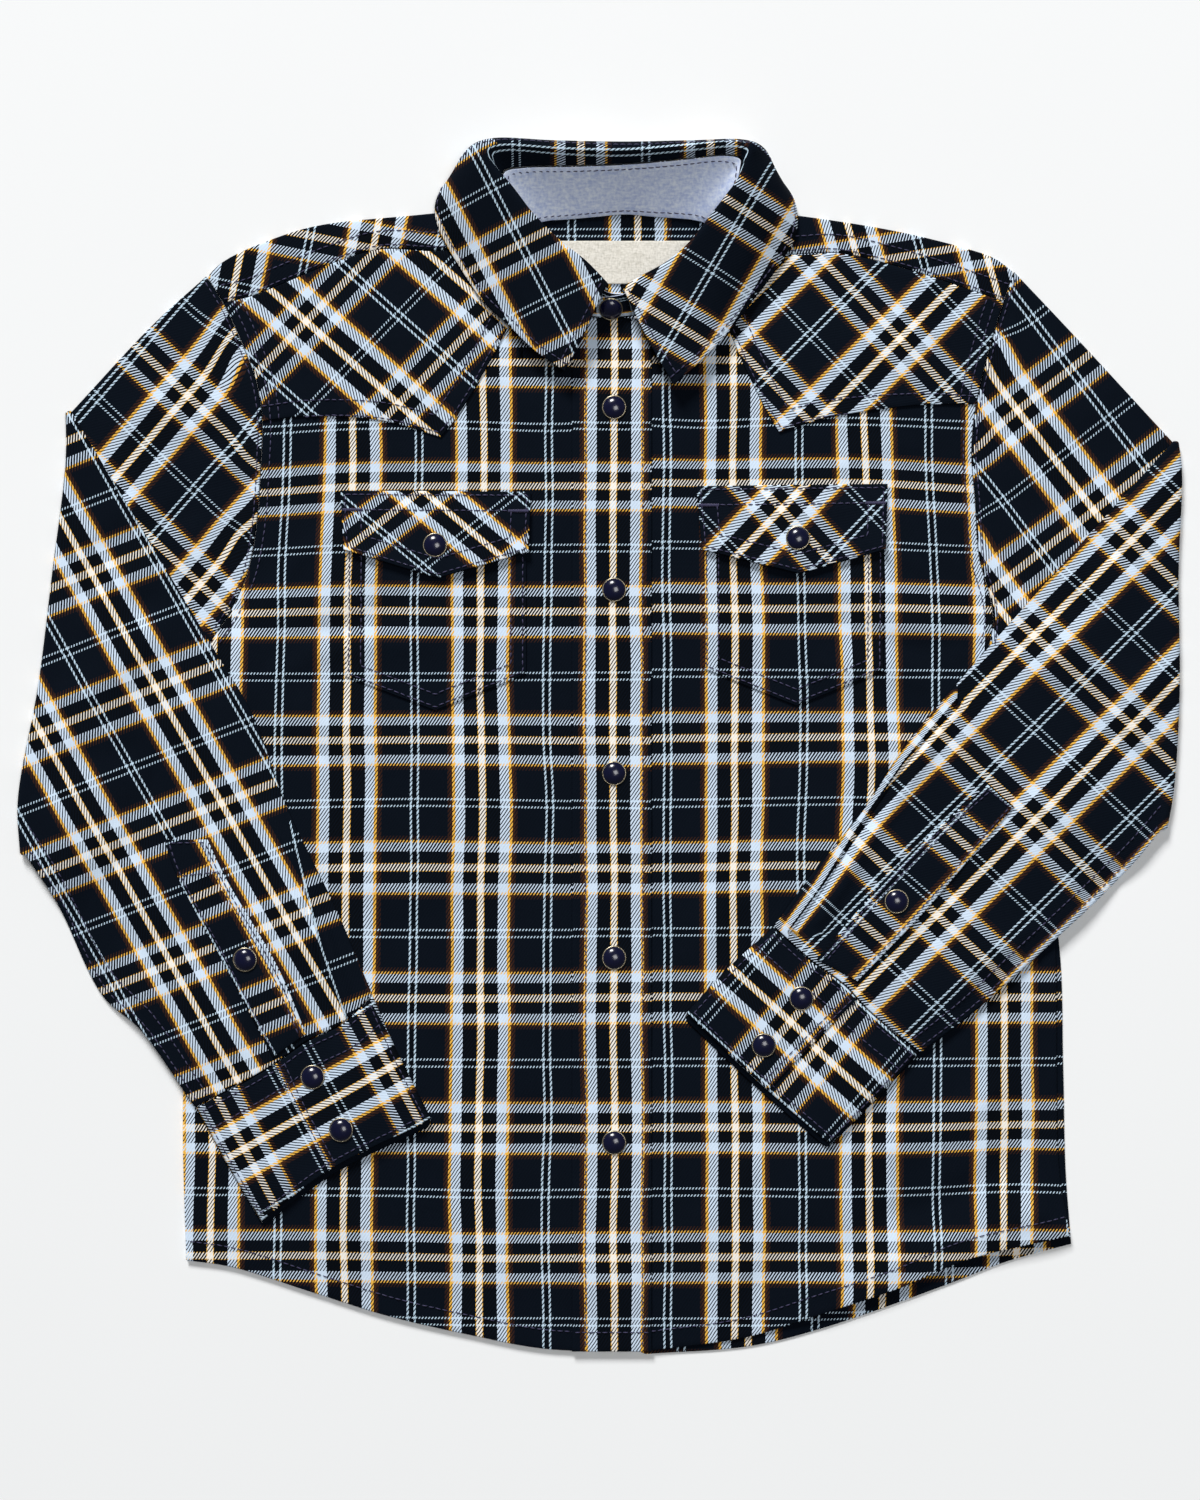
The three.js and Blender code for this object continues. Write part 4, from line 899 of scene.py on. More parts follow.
# Materials.
def colour(name):
    """One of the colours that a user may change."""
    return tuple(getattr(bpy.context.scene.shirt_colours, name))


def linear(hex_colour):
    channels = [int(hex_colour[i : i + 2], 16) / 255 for i in (1, 3, 5)]
    return tuple(c / 12.92 if c <= 0.04045 else ((c + 0.055) / 1.055) ** 2.4 for c in channels)


def new_material(name):
    material = bpy.data.materials.new(name + FINISH)
    material.use_nodes = True
    tree = material.node_tree
    return material, tree, tree.nodes["Principled BSDF"]


def node(tree, kind, **settings):
    made = tree.nodes.new("ShaderNode" + kind)
    for key, value in settings.items():
        setattr(made, key, value)
    return made


def feed(tree, socket, value):
    """Gives a socket a colour, a number or another node's output."""
    if isinstance(value, tuple):
        socket.default_value = (*value, 1)
    elif isinstance(value, (int, float)):
        socket.default_value = value
    else:
        tree.links.new(value, socket)


def maths(tree, operation, *values):
    made = node(tree, "Math", operation=operation)
    for socket, value in zip(made.inputs, values):
        feed(tree, socket, value)
    return made.outputs[0]


def mix_colours(tree, factor, a, b, blend="MIX"):
    mixer = node(tree, "Mix", data_type="RGBA", blend_type=blend)
    for place, value in ((0, factor), (6, a), (7, b)):
        feed(tree, mixer.inputs[place], value)
    return mixer.outputs[2]


def shine(shader, values):
    for socket, value in values.items():
        shader.inputs[socket].default_value = value


def noise(tree, vector, scale, detail=2.0):
    made = node(tree, "TexNoise")
    made.inputs["Scale"].default_value = scale
    made.inputs["Detail"].default_value = detail
    tree.links.new(vector, made.inputs["Vector"])
    return made.outputs["Fac"]


def stretched(tree, place, scale):
    mapping = node(tree, "Mapping")
    mapping.inputs["Scale"].default_value = scale
    tree.links.new(place, mapping.inputs["Vector"])
    return mapping.outputs[0]


def stripes(tree, repeats, length, bands, yarns):
    """Yarn colours by how far a point lies from the middle of the nearest cream stripe."""
    ramp = node(tree, "ValToRGB")
    ramp.color_ramp.interpolation = "CONSTANT"
    elements = ramp.color_ramp.elements
    elements.remove(elements[1])
    for i, (start, yarn) in enumerate(bands):
        place = start / (length / 2)
        element = elements[0] if i == 0 else elements.new(place)
        element.position = place
        element.color = (*yarns[yarn], 1)
    away = maths(tree, "PINGPONG", repeats, 0.5)
    tree.links.new(maths(tree, "MULTIPLY", away, 2.0), ramp.inputs[0])
    return ramp.outputs[0]


def mottled_material(name, dark, pale, scale, detail, **values):
    """Two close colours in soft patches, and values for the shader's own sockets."""
    material, tree, shader = new_material(name)
    place = node(tree, "TexCoord").outputs["Object"]
    patches = noise(tree, place, scale, detail)
    tree.links.new(mix_colours(tree, patches, dark, pale), shader.inputs["Base Color"])
    for socket, value in values.items():
        shader.inputs[socket.replace("_", " ")].default_value = value
    return material


def add_bump(tree, shader, height, strength, distance):
    bump = node(tree, "Bump")
    bump.inputs["Strength"].default_value = strength
    bump.inputs["Distance"].default_value = distance
    tree.links.new(height, bump.inputs["Height"])
    tree.links.new(bump.outputs[0], shader.inputs["Normal"])


def check_material():
    """The yarn-dyed check in a steep twill: stripes of warp and weft, and which lies on top."""
    yarns = {name: colour(name) for name in ("cream", "gold", "light", "ice", "ground", "shade", "brown")}
    yarns["rust"] = tuple((a + b) / 2 for a, b in zip(yarns["brown"], yarns["ground"]))
    material, tree, shader = new_material("check_twill")
    uv = node(tree, "UVMap", uv_map=GRAIN_MAP)
    split = node(tree, "SeparateXYZ")
    tree.links.new(uv.outputs[0], split.inputs[0])
    u, v = split.outputs[0], split.outputs[1]
    warp = stripes(tree, u, WARP_REPEAT, WARP_BANDS, yarns)
    weft = stripes(tree, v, WEFT_REPEAT, WEFT_BANDS, yarns)
    wander = maths(tree, "MULTIPLY", noise(tree, uv.outputs[0], WANDER_NOISE, 1), WANDER)
    phase = maths(
        tree, "SUBTRACT",
        maths(tree, "MULTIPLY_ADD", u, WARP_REPEAT / TWILL_ACROSS, wander),
        maths(tree, "MULTIPLY", v, WEFT_REPEAT / TWILL_ALONG),
    )
    wale = maths(tree, "MULTIPLY", maths(tree, "PINGPONG", phase, 0.5), 2.0)
    over = node(tree, "MapRange", interpolation_type="SMOOTHSTEP")
    over.inputs["From Min"].default_value, over.inputs["From Max"].default_value = WARP_COMES_UP
    tree.links.new(wale, over.inputs["Value"])
    woven = mix_colours(tree, over.outputs[0], weft, warp)
    place = node(tree, "TexCoord").outputs["Object"]
    cloudy = noise(tree, place, CLOUD_NOISE, 3)
    fuzz = noise(tree, place, FUZZ_NOISE, 2)
    fibres = maths(tree, "MULTIPLY_ADD", fuzz, *FIBRES)
    worn = mix_colours(tree, fibres, woven, colour("fuzz"))
    level = maths(tree, "MULTIPLY_ADD", cloudy, *CLOUDS)
    grey = node(tree, "CombineColor")
    for socket in grey.inputs:
        tree.links.new(level, socket)
    tree.links.new(mix_colours(tree, 1.0, worn, grey.outputs[0], "MULTIPLY"), shader.inputs["Base Color"])
    height = maths(tree, "MULTIPLY_ADD", wale, WALE_HEIGHT, maths(tree, "MULTIPLY", fuzz, FUZZ_HEIGHT))
    add_bump(tree, shader, height, *TWILL_BUMP)
    shine(shader, TWILL_SHINE)
    return material


def plain_weave_material(name, dark, pale, scale, share):
    """A plain weave of two close yarn colours, slubby and a little worn."""
    material, tree, shader = new_material(name)
    place = node(tree, "TexCoord").outputs["Object"]
    upright, level = (
        noise(tree, stretched(tree, place, stretch), scale, 3) for stretch in SLUB_STRETCHES
    )
    slub = maths(tree, "MULTIPLY", maths(tree, "ADD", upright, level), 0.5)
    spread = node(tree, "MapRange")
    spread.inputs["From Min"].default_value = share - YARN_SPREAD
    spread.inputs["From Max"].default_value = share + YARN_SPREAD
    tree.links.new(slub, spread.inputs["Value"])
    base = mix_colours(tree, spread.outputs[0], dark, pale)
    tree.links.new(base, shader.inputs["Base Color"])
    add_bump(tree, shader, slub, *WEAVE_BUMP)
    shine(shader, WEAVE_SHINE)
    return material


def thread_material():
    thread = colour("thread")
    pale = tuple(min(1, c * THREAD_PALER + THREAD_LIFT) for c in thread)
    return mottled_material("sewing_thread", thread, pale, THREAD_NOISE, 1, Roughness=0.55, Sheen_Weight=0.2)


def enamel_material():
    material, tree, shader = new_material("snap_enamel")
    place = node(tree, "TexCoord").outputs["Object"]
    enamel = colour("enamel")
    deep = tuple(c * ENAMEL_DEEP for c in enamel)
    streak = noise(tree, stretched(tree, place, STREAK_STRETCH), STREAK_NOISE, 2)
    tree.links.new(mix_colours(tree, streak, deep, enamel), shader.inputs["Base Color"])
    rough = maths(tree, "MULTIPLY_ADD", streak, *ENAMEL_ROUGHNESS)
    tree.links.new(rough, shader.inputs["Roughness"])
    shine(shader, ENAMEL_SHINE)
    return material


def rim_material():
    metal = colour("rim")
    dull = tuple(c * RIM_DULL for c in metal)
    return mottled_material("snap_rim", dull, metal, RIM_NOISE, 3, Metallic=0.85, Roughness=0.3)


def floor_material():
    pale = colour("floor")
    shade = tuple(c * FLOOR_SHADE for c in pale)
    return mottled_material("pale_floor", shade, pale, FLOOR_NOISE, 2, Roughness=0.9, Specular_IOR_Level=0.1)


MAKERS = {
    "check_twill": check_material,
    "chambray": lambda: plain_weave_material(
        "chambray", colour("chambray_dark"), colour("chambray_pale"), 900, 0.5
    ),
    "label_cloth": lambda: plain_weave_material(
        "label_cloth", linear("#c3beb0"), linear("#ebe6db"), 1500, 0.46
    ),
    "sewing_thread": thread_material,
    "snap_enamel": enamel_material,
    "snap_rim": rim_material,
    "pale_floor": floor_material,
}


def finish(name):
    return bpy.data.materials.get(name + FINISH) or MAKERS[name]()


# Meshes.
def mesh_object(name, vertices, faces, material):
    """Adds a mesh to the scene; its points are in metres."""
    mesh = bpy.data.meshes.new(name)
    mesh.from_pydata(np.asarray(vertices).tolist(), [], faces)
    mesh.polygons.foreach_set("use_smooth", np.ones(len(mesh.polygons), bool))
    mesh.materials.append(finish(material))
    made = bpy.data.objects.new(name, mesh)
    bpy.context.scene.collection.objects.link(made)
    return made


def outward_at_edges(face, quads, edges, owners, count):
    """For each boundary point, the unit direction that leaves the cloth in its surface."""
    start, end = face[edges[:, 0]], face[edges[:, 1]]
    run = unit(end - start)
    out = (start + end) / 2 - face[quads[owners]].mean(axis=1)
    out = unit(out - run * (out * run).sum(axis=1, keepdims=True))
    total = np.zeros((count, 3))
    np.add.at(total, edges[:, 0], out)
    np.add.at(total, edges[:, 1], out)
    return unit(total)


def shell(name, face, back, uv, ring=False, keep=None, zones=None, material="check_twill"):
    """One piece of cloth between two like grids of points, with rounded edges.

    uv is a list of grids, one for each zone, and zones gives each cell's number in it.
    """
    sizes = bpy.context.scene.shirt_sizes
    row_count, columns = face.shape[:2]
    count = row_count * columns
    index = np.arange(count).reshape(row_count, columns)
    after = np.roll(index, -1, axis=1) if ring else index[:, 1:]
    here = index if ring else index[:, :-1]
    squares = np.stack([here[:-1], after[:-1], after[1:], here[1:]], axis=-1)
    zone = np.broadcast_to(0 if zones is None else zones, squares.shape[:2])
    kept = np.ones(squares.shape[:2], bool) if keep is None else keep
    quads, zone = squares[kept], zone[kept]
    pairs = quads[:, [[0, 1], [1, 2], [2, 3], [3, 0]]].reshape(-1, 2)
    codes = pairs[:, 0] * count + pairs[:, 1]
    open_edge = ~np.isin(codes, pairs[:, 1] * count + pairs[:, 0])
    edges = pairs[open_edge]
    owners = np.repeat(np.arange(len(quads)), 4)[open_edge]
    top, low = face.reshape(-1, 3).copy(), back.reshape(-1, 3).copy()
    middle = (top + low) / 2
    out = outward_at_edges(middle, quads, edges, owners, count)
    rim = np.unique(edges)
    radius = sizes.edge_round
    top[rim] -= out[rim] * radius
    low[rim] -= out[rim] * radius
    half = (top - low) / 2
    turns = np.linspace(0, math.pi, sizes.edge_facets + 2)[1:-1]
    rim_rows = [
        middle[rim] + out[rim] * radius * (math.sin(turn) - 1) + half[rim] * math.cos(turn)
        for turn in turns
    ]
    order = np.full(count, -1)
    order[rim] = np.arange(len(rim))
    vertices = np.vstack([top, low, *rim_rows])
    faces = [quads, quads[:, ::-1] + count]
    sources = [quads, quads[:, ::-1]]
    face_zones = [zone, zone]
    levels = [np.arange(count)]
    for k in range(len(turns)):
        level = np.zeros(count, int)
        level[rim] = 2 * count + k * len(rim) + order[rim]
        levels.append(level)
    levels.append(np.arange(count) + count)
    for above, below in zip(levels, levels[1:]):
        p, q = edges[:, 0], edges[:, 1]
        faces.append(np.stack([above[q], above[p], below[p], below[q]], axis=-1))
        sources.append(np.stack([q, p, p, q], axis=-1))
        face_zones.append(zone[owners])
    faces, sources, face_zones = np.vstack(faces), np.vstack(sources), np.concatenate(face_zones)
    used = np.unique(faces)
    renumber = np.zeros(len(vertices), int)
    renumber[used] = np.arange(len(used))
    vertices, faces = vertices[used] * MM, renumber[faces]
    a, b, c, d = (vertices[faces[:, k]] for k in range(4))
    volume = (a * (np.cross(b, c) + np.cross(c, d))).sum()
    if volume < 0:
        faces, sources = faces[:, ::-1], sources[:, ::-1]
    made = mesh_object(name + CLOTH, vertices, faces.tolist(), material)
    if uv is not None:
        flat = np.stack([np.asarray(layer).reshape(-1, 2) for layer in uv])
        loops = flat[face_zones[:, None], sources]
        layer = made.data.uv_layers.new(name=GRAIN_MAP)
        layer.data.foreach_set("uv", loops.reshape(-1).astype(np.float32))
    return made


def patch_area(plan):
    """Area in square millimetres of a grid of points."""
    a, b, c, d = plan[:-1, :-1], plan[:-1, 1:], plan[1:, 1:], plan[1:, :-1]
    if plan.shape[-1] == 2:
        across, down = c - a, d - b
        return abs(across[..., 0] * down[..., 1] - across[..., 1] * down[..., 0]).sum() / 2
    return np.linalg.norm(np.cross(c - a, d - b), axis=-1).sum() / 2


def declare(piece, nodes, flat, area):
    """Hangs a piece of cloth under the root and hides the solids it stands for; its cut in millimetres and
    its area are worked out but not kept.
    """
    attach(piece, "root")
    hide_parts(*nodes)
    size = (flat[0] * MM, flat[1] * MM)
    area = min(area * MM * MM, size[0] * size[1])


def plan_cut(plan):
    """Width and length of the smallest rectangle that a piece is cut from."""
    spread = plan.reshape(-1, plan.shape[-1])[:, :2]
    sizes = []
    for turn in np.radians(np.arange(0, 90, 3)):
        ways = np.array([[math.cos(turn), -math.sin(turn)], [math.sin(turn), math.cos(turn)]])
        turned = spread @ ways
        sizes.append(turned.max(axis=0) - turned.min(axis=0))
    return min(sizes, key=lambda size: size[0] * size[1])


def edge_pucker(x, y, plan, seed):
    """Small uneven waves that topstitching draws into the cloth beside its edges."""
    sizes = bpy.context.scene.shirt_sizes
    rim = np.vstack([plan[0], plan[:, -1], plan[-1, ::-1], plan[::-1, 0]])[::2]
    inside = -beyond(x, y, rim)
    near = np.exp(-((inside / sizes.pucker_width) ** 2)) * rise(inside, PUCKER_START)
    return sizes.pucker * unevenness(x, y, PUCKER_LENGTH, seed) * near


def lay(name, plan, height, uv, seed, settled=0.0):
    """A piece of cloth laid on a height function and pressed down a little."""
    sizes = bpy.context.scene.shirt_sizes
    x, y = plan[..., 0], plan[..., 1]
    top = height(x, y) + WALL - settled + edge_pucker(x, y, plan, seed)
    piece = shell(name, with_height(plan, top), with_height(plan, top - sizes.cloth), [uv])
    declare(piece, [name], plan_cut(plan), patch_area(plan))
    return piece


# Sewing.
def surface_finder(piece):
    """A function that finds the top of a piece, or None beside it."""
    mesh = piece.data
    tree = BVHTree.FromPolygons([v.co for v in mesh.vertices], [p.vertices for p in mesh.polygons])

    def find(x, y):
        """Height in millimetres and normal of the piece's top at a point in plan."""
        hit, normal, _, _ = tree.ray_cast(Vector((x * MM, y * MM, 0.2)), Vector((0, 0, -1)))
        if hit is None:
            return None
        return hit.z / MM, np.array(normal)

    return find


def seats(name, places):
    """Height and normal of a piece of cloth under each place; it has to be there."""
    find = surface_finder(bpy.data.objects[name + CLOTH])
    found = [find(x, y) for x, y in places]
    if any(seat is None for seat in found):
        raise RuntimeError(f"{name} doesn't reach under all that rests on it")
    return found


def spaced(line, pitch):
    """Points every pitch along a line, with its directions there."""
    steps = np.linalg.norm(np.diff(line, axis=0), axis=1)
    total = steps.sum()
    count = max(int(total / pitch), 1)
    curve = along(line)
    shares = (np.arange(count) + 0.5) / count
    return curve(shares), unit(curve(shares + 0.4 / count) - curve(shares - 0.4 / count))


def stitch(name, centres, directions, normals, seed, length=None):
    """Rows of single stitches, each a short strand that dips into the cloth at both ends."""
    if not len(centres):
        raise RuntimeError(f"{name} found no cloth to sew")
    sizes = bpy.context.scene.shirt_sizes
    draw = np.random.default_rng(seed)
    count = len(centres)
    centres, directions, normals = (np.asarray(a, float) for a in (centres, directions, normals))
    directions = unit(directions - normals * (directions * normals).sum(axis=1, keepdims=True))
    sideways = np.cross(normals, directions)
    directions = directions + sideways * draw.normal(0, STITCH_SWAY, (count, 1))
    reach = (length or sizes.stitch_length) / 2 * draw.uniform(*STITCH_LENGTHS, (count, 1))
    lift = sizes.thread * draw.uniform(*STITCH_LIFTS, (count, 1))
    ring_count = len(STITCH_SECTION)
    layers = []
    for place, width, height in STITCH_STATIONS:
        spine = centres + directions * reach * place + normals * (lift + sizes.thread * height)
        for across, up in STITCH_SECTION:
            layers.append(spine + (sideways * across + normals * up) * sizes.thread * width)
    vertices = np.stack(layers, axis=1).reshape(-1, 3) * MM
    size = ring_count * len(STITCH_STATIONS)
    strand = []
    for start in range(0, size - ring_count, ring_count):
        for k in range(ring_count):
            a, b = start + k, start + (k + 1) % ring_count
            strand.append((a, b, b + ring_count, a + ring_count))
    strand.append(tuple(range(ring_count))[::-1])
    strand.append(tuple(range(size - ring_count, size)))
    faces = [tuple(i + n * size for i in face) for n in range(count) for face in strand]
    made = mesh_object(name, vertices, faces, "sewing_thread")
    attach(made, "root")


def sew(name, piece, lines, seed):
    """Topstitches a piece along lines in plan."""
    sizes = bpy.context.scene.shirt_sizes
    find = surface_finder(piece)
    centres, directions, normals = [], [], []
    for line in lines:
        places, ahead = spaced(np.asarray(line, float), sizes.stitch_pitch)
        for (x, y), (dx, dy) in zip(places, ahead):
            found = find(x, y)
            if found is None or found[1][2] < 0.3:
                continue
            centres.append((x, y, found[0]))
            directions.append((dx, dy, 0))
            normals.append(found[1])
    stitch(name, centres, directions, normals, seed)


def beside(line, distance):
    """A line moved sideways to its left by a distance."""
    line = np.asarray(line, float)
    return line + turned_left(unit(np.gradient(line, axis=0))) * distance


def inset_corners(corners, distance):
    """A closed run of straight edges, anticlockwise, moved inwards with its corners kept."""
    came = unit(corners - np.roll(corners, 1, axis=0))
    goes = unit(np.roll(corners, -1, axis=0) - corners)
    inward = unit(turned_left(came + goes))
    sharpness = (inward * turned_left(goes)).sum(axis=1, keepdims=True)
    return corners + inward * distance / sharpness


# Pieces.
def cells(length):
    """How many cells of cloth a length has."""
    return max(2, round(length / bpy.context.scene.shirt_sizes.cell))


def rectangle(left, right, top, foot):
    return patch(
        straight((left, top), (right, top)), straight((left, foot), (right, foot)),
        straight((left, top), (left, foot)), straight((right, top), (right, foot)),
    )


def front_top(side, x, y):
    """A front's lower face; the right one stands off the back along its hem."""
    lift = 0.0
    if side == "right":
        away = stretch_distance(x, y, *HEM_LIFT_LINE) / HEM_LIFT_HALF
        lift = HEM_LIFT * np.exp(-(away**2))
    return body_top(x, y) - WALL + lift


def front_plan(side):
    """The plan of one front, from its shoulder seam to its hem."""
    is_left = side == "left"
    hole = part(armhole[side], 1 / ARM_STEPS, 1)
    outer = joined((hole, ARM_STEPS - 1), (side_seam[side], SIDE_STEPS))
    meeting = CENTRE_SEAM + (0 if is_left else GAP)
    centre = straight((meeting, CENTRE_TOP), (meeting, CENTRE_FOOT))
    if is_left:
        top = joined((forward_seam["left"], SHOULDER_COLUMNS), (neckline["left"], NECK_COLUMNS))
        surface = patch(top, hem["left"], outer, centre)
    else:
        top = joined((neckline["right"], NECK_COLUMNS), (forward_seam["right"], SHOULDER_COLUMNS))
        surface = patch(top, hem["right"], centre, outer)
    columns = (SHOULDER_COLUMNS + NECK_COLUMNS) * cells(16)
    plan = surface(*grid(columns, (ARM_STEPS - 1 + SIDE_STEPS) * cells(20)))
    if not is_left:
        plan[..., 0] = np.maximum(plan[..., 0], meeting)
    return plan


def yoke_plan(side):
    hole = part(armhole[side], 1 / ARM_STEPS, YOKE_SHARE[side])
    low, edge, seam = smooth(YOKE_LOW[side]), smooth(YOKE_FRONT[side]), forward_seam[side]
    if side == "left":
        surface = patch(ending_at(seam, last=edge(0.0)), ending_at(low, first=hole(1.0)), hole, edge)
    else:
        surface = patch(ending_at(seam, first=edge(0.0)), ending_at(low, last=hole(1.0)), edge, hole)
    return surface(*grid(SHOULDER_COLUMNS * cells(14), 6 * cells(13)))


def pointed_plan(corners):
    top_left, top_right, foot_left, foot_right, point = corners
    foot = joined((straight(foot_left, point), 4), (straight(point, foot_right), 4))
    surface = patch(
        straight(top_left, top_right), foot, straight(top_left, foot_left), straight(top_right, foot_right)
    )
    return surface(*grid(8 * cells(10), 6 * cells(12)))


class SHIRT_OT_back(bpy.types.Operator):
    """Back and back yoke, flat on the surface."""

    bl_idname = "shirt.back"
    bl_label = "Back"

    def execute(self, context):
        self.back()
        self.yoke()
        return {"FINISHED"}

    def back(self):
        """The back hangs below the fronts at the right of the hem."""
        share = YOKE_STEPS / ARM_STEPS
        sides = (side_seam["left"], smooth(BACK_SIDE_RIGHT))
        left, right = (
            joined((part(armhole[side], share, 1), ARM_STEPS - YOKE_STEPS), (seam, SIDE_STEPS))
            for side, seam in zip(SIDES, sides)
        )
        foot = joined((hem["left"], 12), (smooth(BACK_HEM_RIGHT), 12))
        surface = patch(straight(left(0.0), right(0.0)), foot, left, right)
        plan = surface(*grid(24 * cells(10), 21 * cells(12)))
        x, y = plan[..., 0], plan[..., 1]
        top = np.full(x.shape, WALL)
        face, underside = with_height(plan, top), with_height(plan, top - WALL + BACK_LIFT)
        piece = shell("back", face, underside, [grain_uv("back", plan)])
        declare(piece, ["back"], plan_cut(plan), patch_area(plan))
        line = beside(sampled(smooth(BACK_HEM_RIGHT), 60), HEM_STITCH)
        sew("stitch_back_hem", piece, [line], seed=21)

    def yoke(self):
        """Flat behind, folded over each shoulder and forward to the seam with the front."""
        share = YOKE_STEPS / ARM_STEPS
        inner, outer = GAP / 2, WALL + GAP / 2
        fine = 4
        columns = (2 * SHOULDER_COLUMNS + 2 * NECK_COLUMNS) * fine
        neck_from, neck_to = SHOULDER_COLUMNS * fine, (SHOULDER_COLUMNS + 2 * NECK_COLUMNS) * fine
        top_edge = joined(
            (shoulder["left"], SHOULDER_COLUMNS), (smooth(BACK_NECKLINE), 2 * NECK_COLUMNS),
            (shoulder["right"], SHOULDER_COLUMNS),
        )
        shares = np.linspace(0, 1, columns + 1)
        axis = top_edge(shares) - np.array([0, outer])
        for end, side in ((0, "left"), (-1, "right")):
            hole = armhole[side]
            axis[end] = hole(outer / np.linalg.norm(hole(0.0) - hole(1.0)))
        seam_ends = [armhole[side](share) + np.array([0, GAP]) for side in SIDES]
        left, right = (
            along(np.vstack([axis[end], armhole[side](np.linspace(0.04, share - 0.02, 12)), seam]))
            for end, side, seam in ((0, "left", seam_ends[0]), (-1, "right", seam_ends[1]))
        )
        plate_rows = YOKE_STEPS * 6
        surface = patch(along(axis), straight(*seam_ends), left, right)
        u, v = grid(columns, plate_rows)
        plate = surface(u, v)[::-1]
        plate[-1] = axis
        plate[-1, neck_from + 1 : neck_to, 1] += NECK_TUCK
        face = [with_height(row, BACK_LIFT) for row in plate]
        lining = [with_height(row, WALL) for row in plate]
        for turn in np.linspace(-math.pi / 2, math.pi / 2, 9)[1:]:
            for radius, into in ((outer, face), (inner, lining)):
                row = axis + np.array([0, radius * math.cos(turn)])
                into.append(with_height(row, outer + radius * math.sin(turn)))
        seam = np.zeros_like(axis)
        seam[: neck_from + 1] = sampled(forward_seam["left"], neck_from)
        seam[neck_from:neck_to] = seam[neck_from]
        seam[neck_to:] = sampled(forward_seam["right"], columns - neck_to)
        seam += np.array([0, GAP])
        forward_rows = 8
        for step in range(1, forward_rows + 1):
            row = axis + (seam - axis) * step / forward_rows
            relief = body_relief(row[:, 0], row[:, 1])
            relief = relief + 0.3 * math.sin(math.pi * step / forward_rows)
            face.append(with_height(row, LAYER + WALL + relief))
            lining.append(with_height(row, LAYER + relief + 0.1))
        face, lining = np.array(face), np.array(lining)
        keep = np.ones((len(face) - 1, columns), bool)
        keep[plate_rows:, neck_from:neck_to] = False
        zones = np.zeros_like(keep, int)
        zones[plate_rows:, :neck_from] = 1
        zones[plate_rows:, neck_to:] = 2
        uv = [grain_uv(name, face) for name in ("neck_inside", "shoulder_left", "shoulder_right")]
        piece = shell("back_yoke", face, lining, uv, keep=keep, zones=zones)
        area = patch_area(plate) + patch_area(face[plate_rows:, : neck_from + 1])
        area += patch_area(face[plate_rows:, neck_to:])
        declare(piece, ["back_yoke"], YOKE_CUT, area)
        seams = [sampled(forward_seam[side], 60) for side in SIDES]
        lines = [beside(line, distance) for line in seams for distance in SHOULDER_STITCHES]
        sew("stitch_shoulders", piece, lines, seed=22)


class SHIRT_OT_fronts(bpy.types.Operator):
    """Both fronts, and the placket over the centre seam."""

    bl_idname = "shirt.fronts"
    bl_label = "Fronts and placket"

    def execute(self, context):
        for number, side in enumerate(SIDES):
            self.front(side, number)
        self.placket()
        return {"FINISHED"}

    def front(self, side, number):
        plan = front_plan(side)
        piece = lay(
            "front_" + side, plan, lambda x, y: front_top(side, x, y), front_uv(side, plan),
            seed=31 + number,
        )
        hole = armhole[side](np.linspace(0.4, 0.995, 60))
        lines = [
            beside(sampled(hem[side], 120), HEM_STITCH),
            beside(hole, INWARD[side] * ARMHOLE_STITCHES[0]),
        ]
        sew("stitch_front_" + side, piece, lines, seed=33 + number)

    def placket(self):
        surface = rectangle(PLACKET_LEFT, PLACKET_RIGHT, PLACKET_TOP, PLACKET_FOOT)
        columns = cells(PLACKET_RIGHT - PLACKET_LEFT) + 4
        plan = surface(*grid(columns, (ARM_STEPS - 1 + SIDE_STEPS) * cells(20)))
        piece = lay(
            "front_placket", plan, on_front(0), front_uv("placket", plan),
            seed=35, settled=PRESSED,
        )
        foot = PLACKET_FOOT + HEM_STITCH
        lines = [
            points((-PLACKET_STITCH, PLACKET_TOP - 3), (-PLACKET_STITCH, PLACKET_FOOT + 2)),
            points((PLACKET_STITCH, PLACKET_TOP - 3), (PLACKET_STITCH, PLACKET_FOOT + 2)),
            points((PLACKET_LEFT + 1, foot), (PLACKET_RIGHT - 1, foot)),
        ]
        sew("stitch_placket", piece, lines, seed=36)


class SHIRT_OT_yokes(bpy.types.Operator):
    """Pointed front yokes, cut on the bias."""

    bl_idname = "shirt.yokes"
    bl_label = "Front yokes"

    def execute(self, context):
        for number, side in enumerate(SIDES):
            plan = yoke_plan(side)
            name = "yoke_" + side
            piece = lay(
                name, plan, on_front(0), grain_uv(name, plan),
                seed=41 + number, settled=PRESSED,
            )
            low = sampled(smooth(YOKE_LOW[side]), 60)
            edge = sampled(smooth(YOKE_FRONT[side]), 60)
            hole = armhole[side](np.linspace(0.09, YOKE_SHARE[side], 40))
            lines = []
            for distance in YOKE_STITCHES:
                lines.append(self.trimmed(beside(low, distance), edge, distance))
                lines.append(self.trimmed(beside(edge, -INWARD[side] * distance), low, distance))
            lines += [beside(hole, INWARD[side] * distance) for distance in ARMHOLE_STITCHES]
            sew("stitch_yoke_" + side, piece, lines, seed=43 + number)
        return {"FINISHED"}

    def trimmed(self, line, other, distance):
        """The part of a stitch line that stays clear of the other edge."""
        gaps = np.linalg.norm(line[:, None] - other[None], axis=-1).min(axis=1)
        return line[gaps >= distance - 0.4]


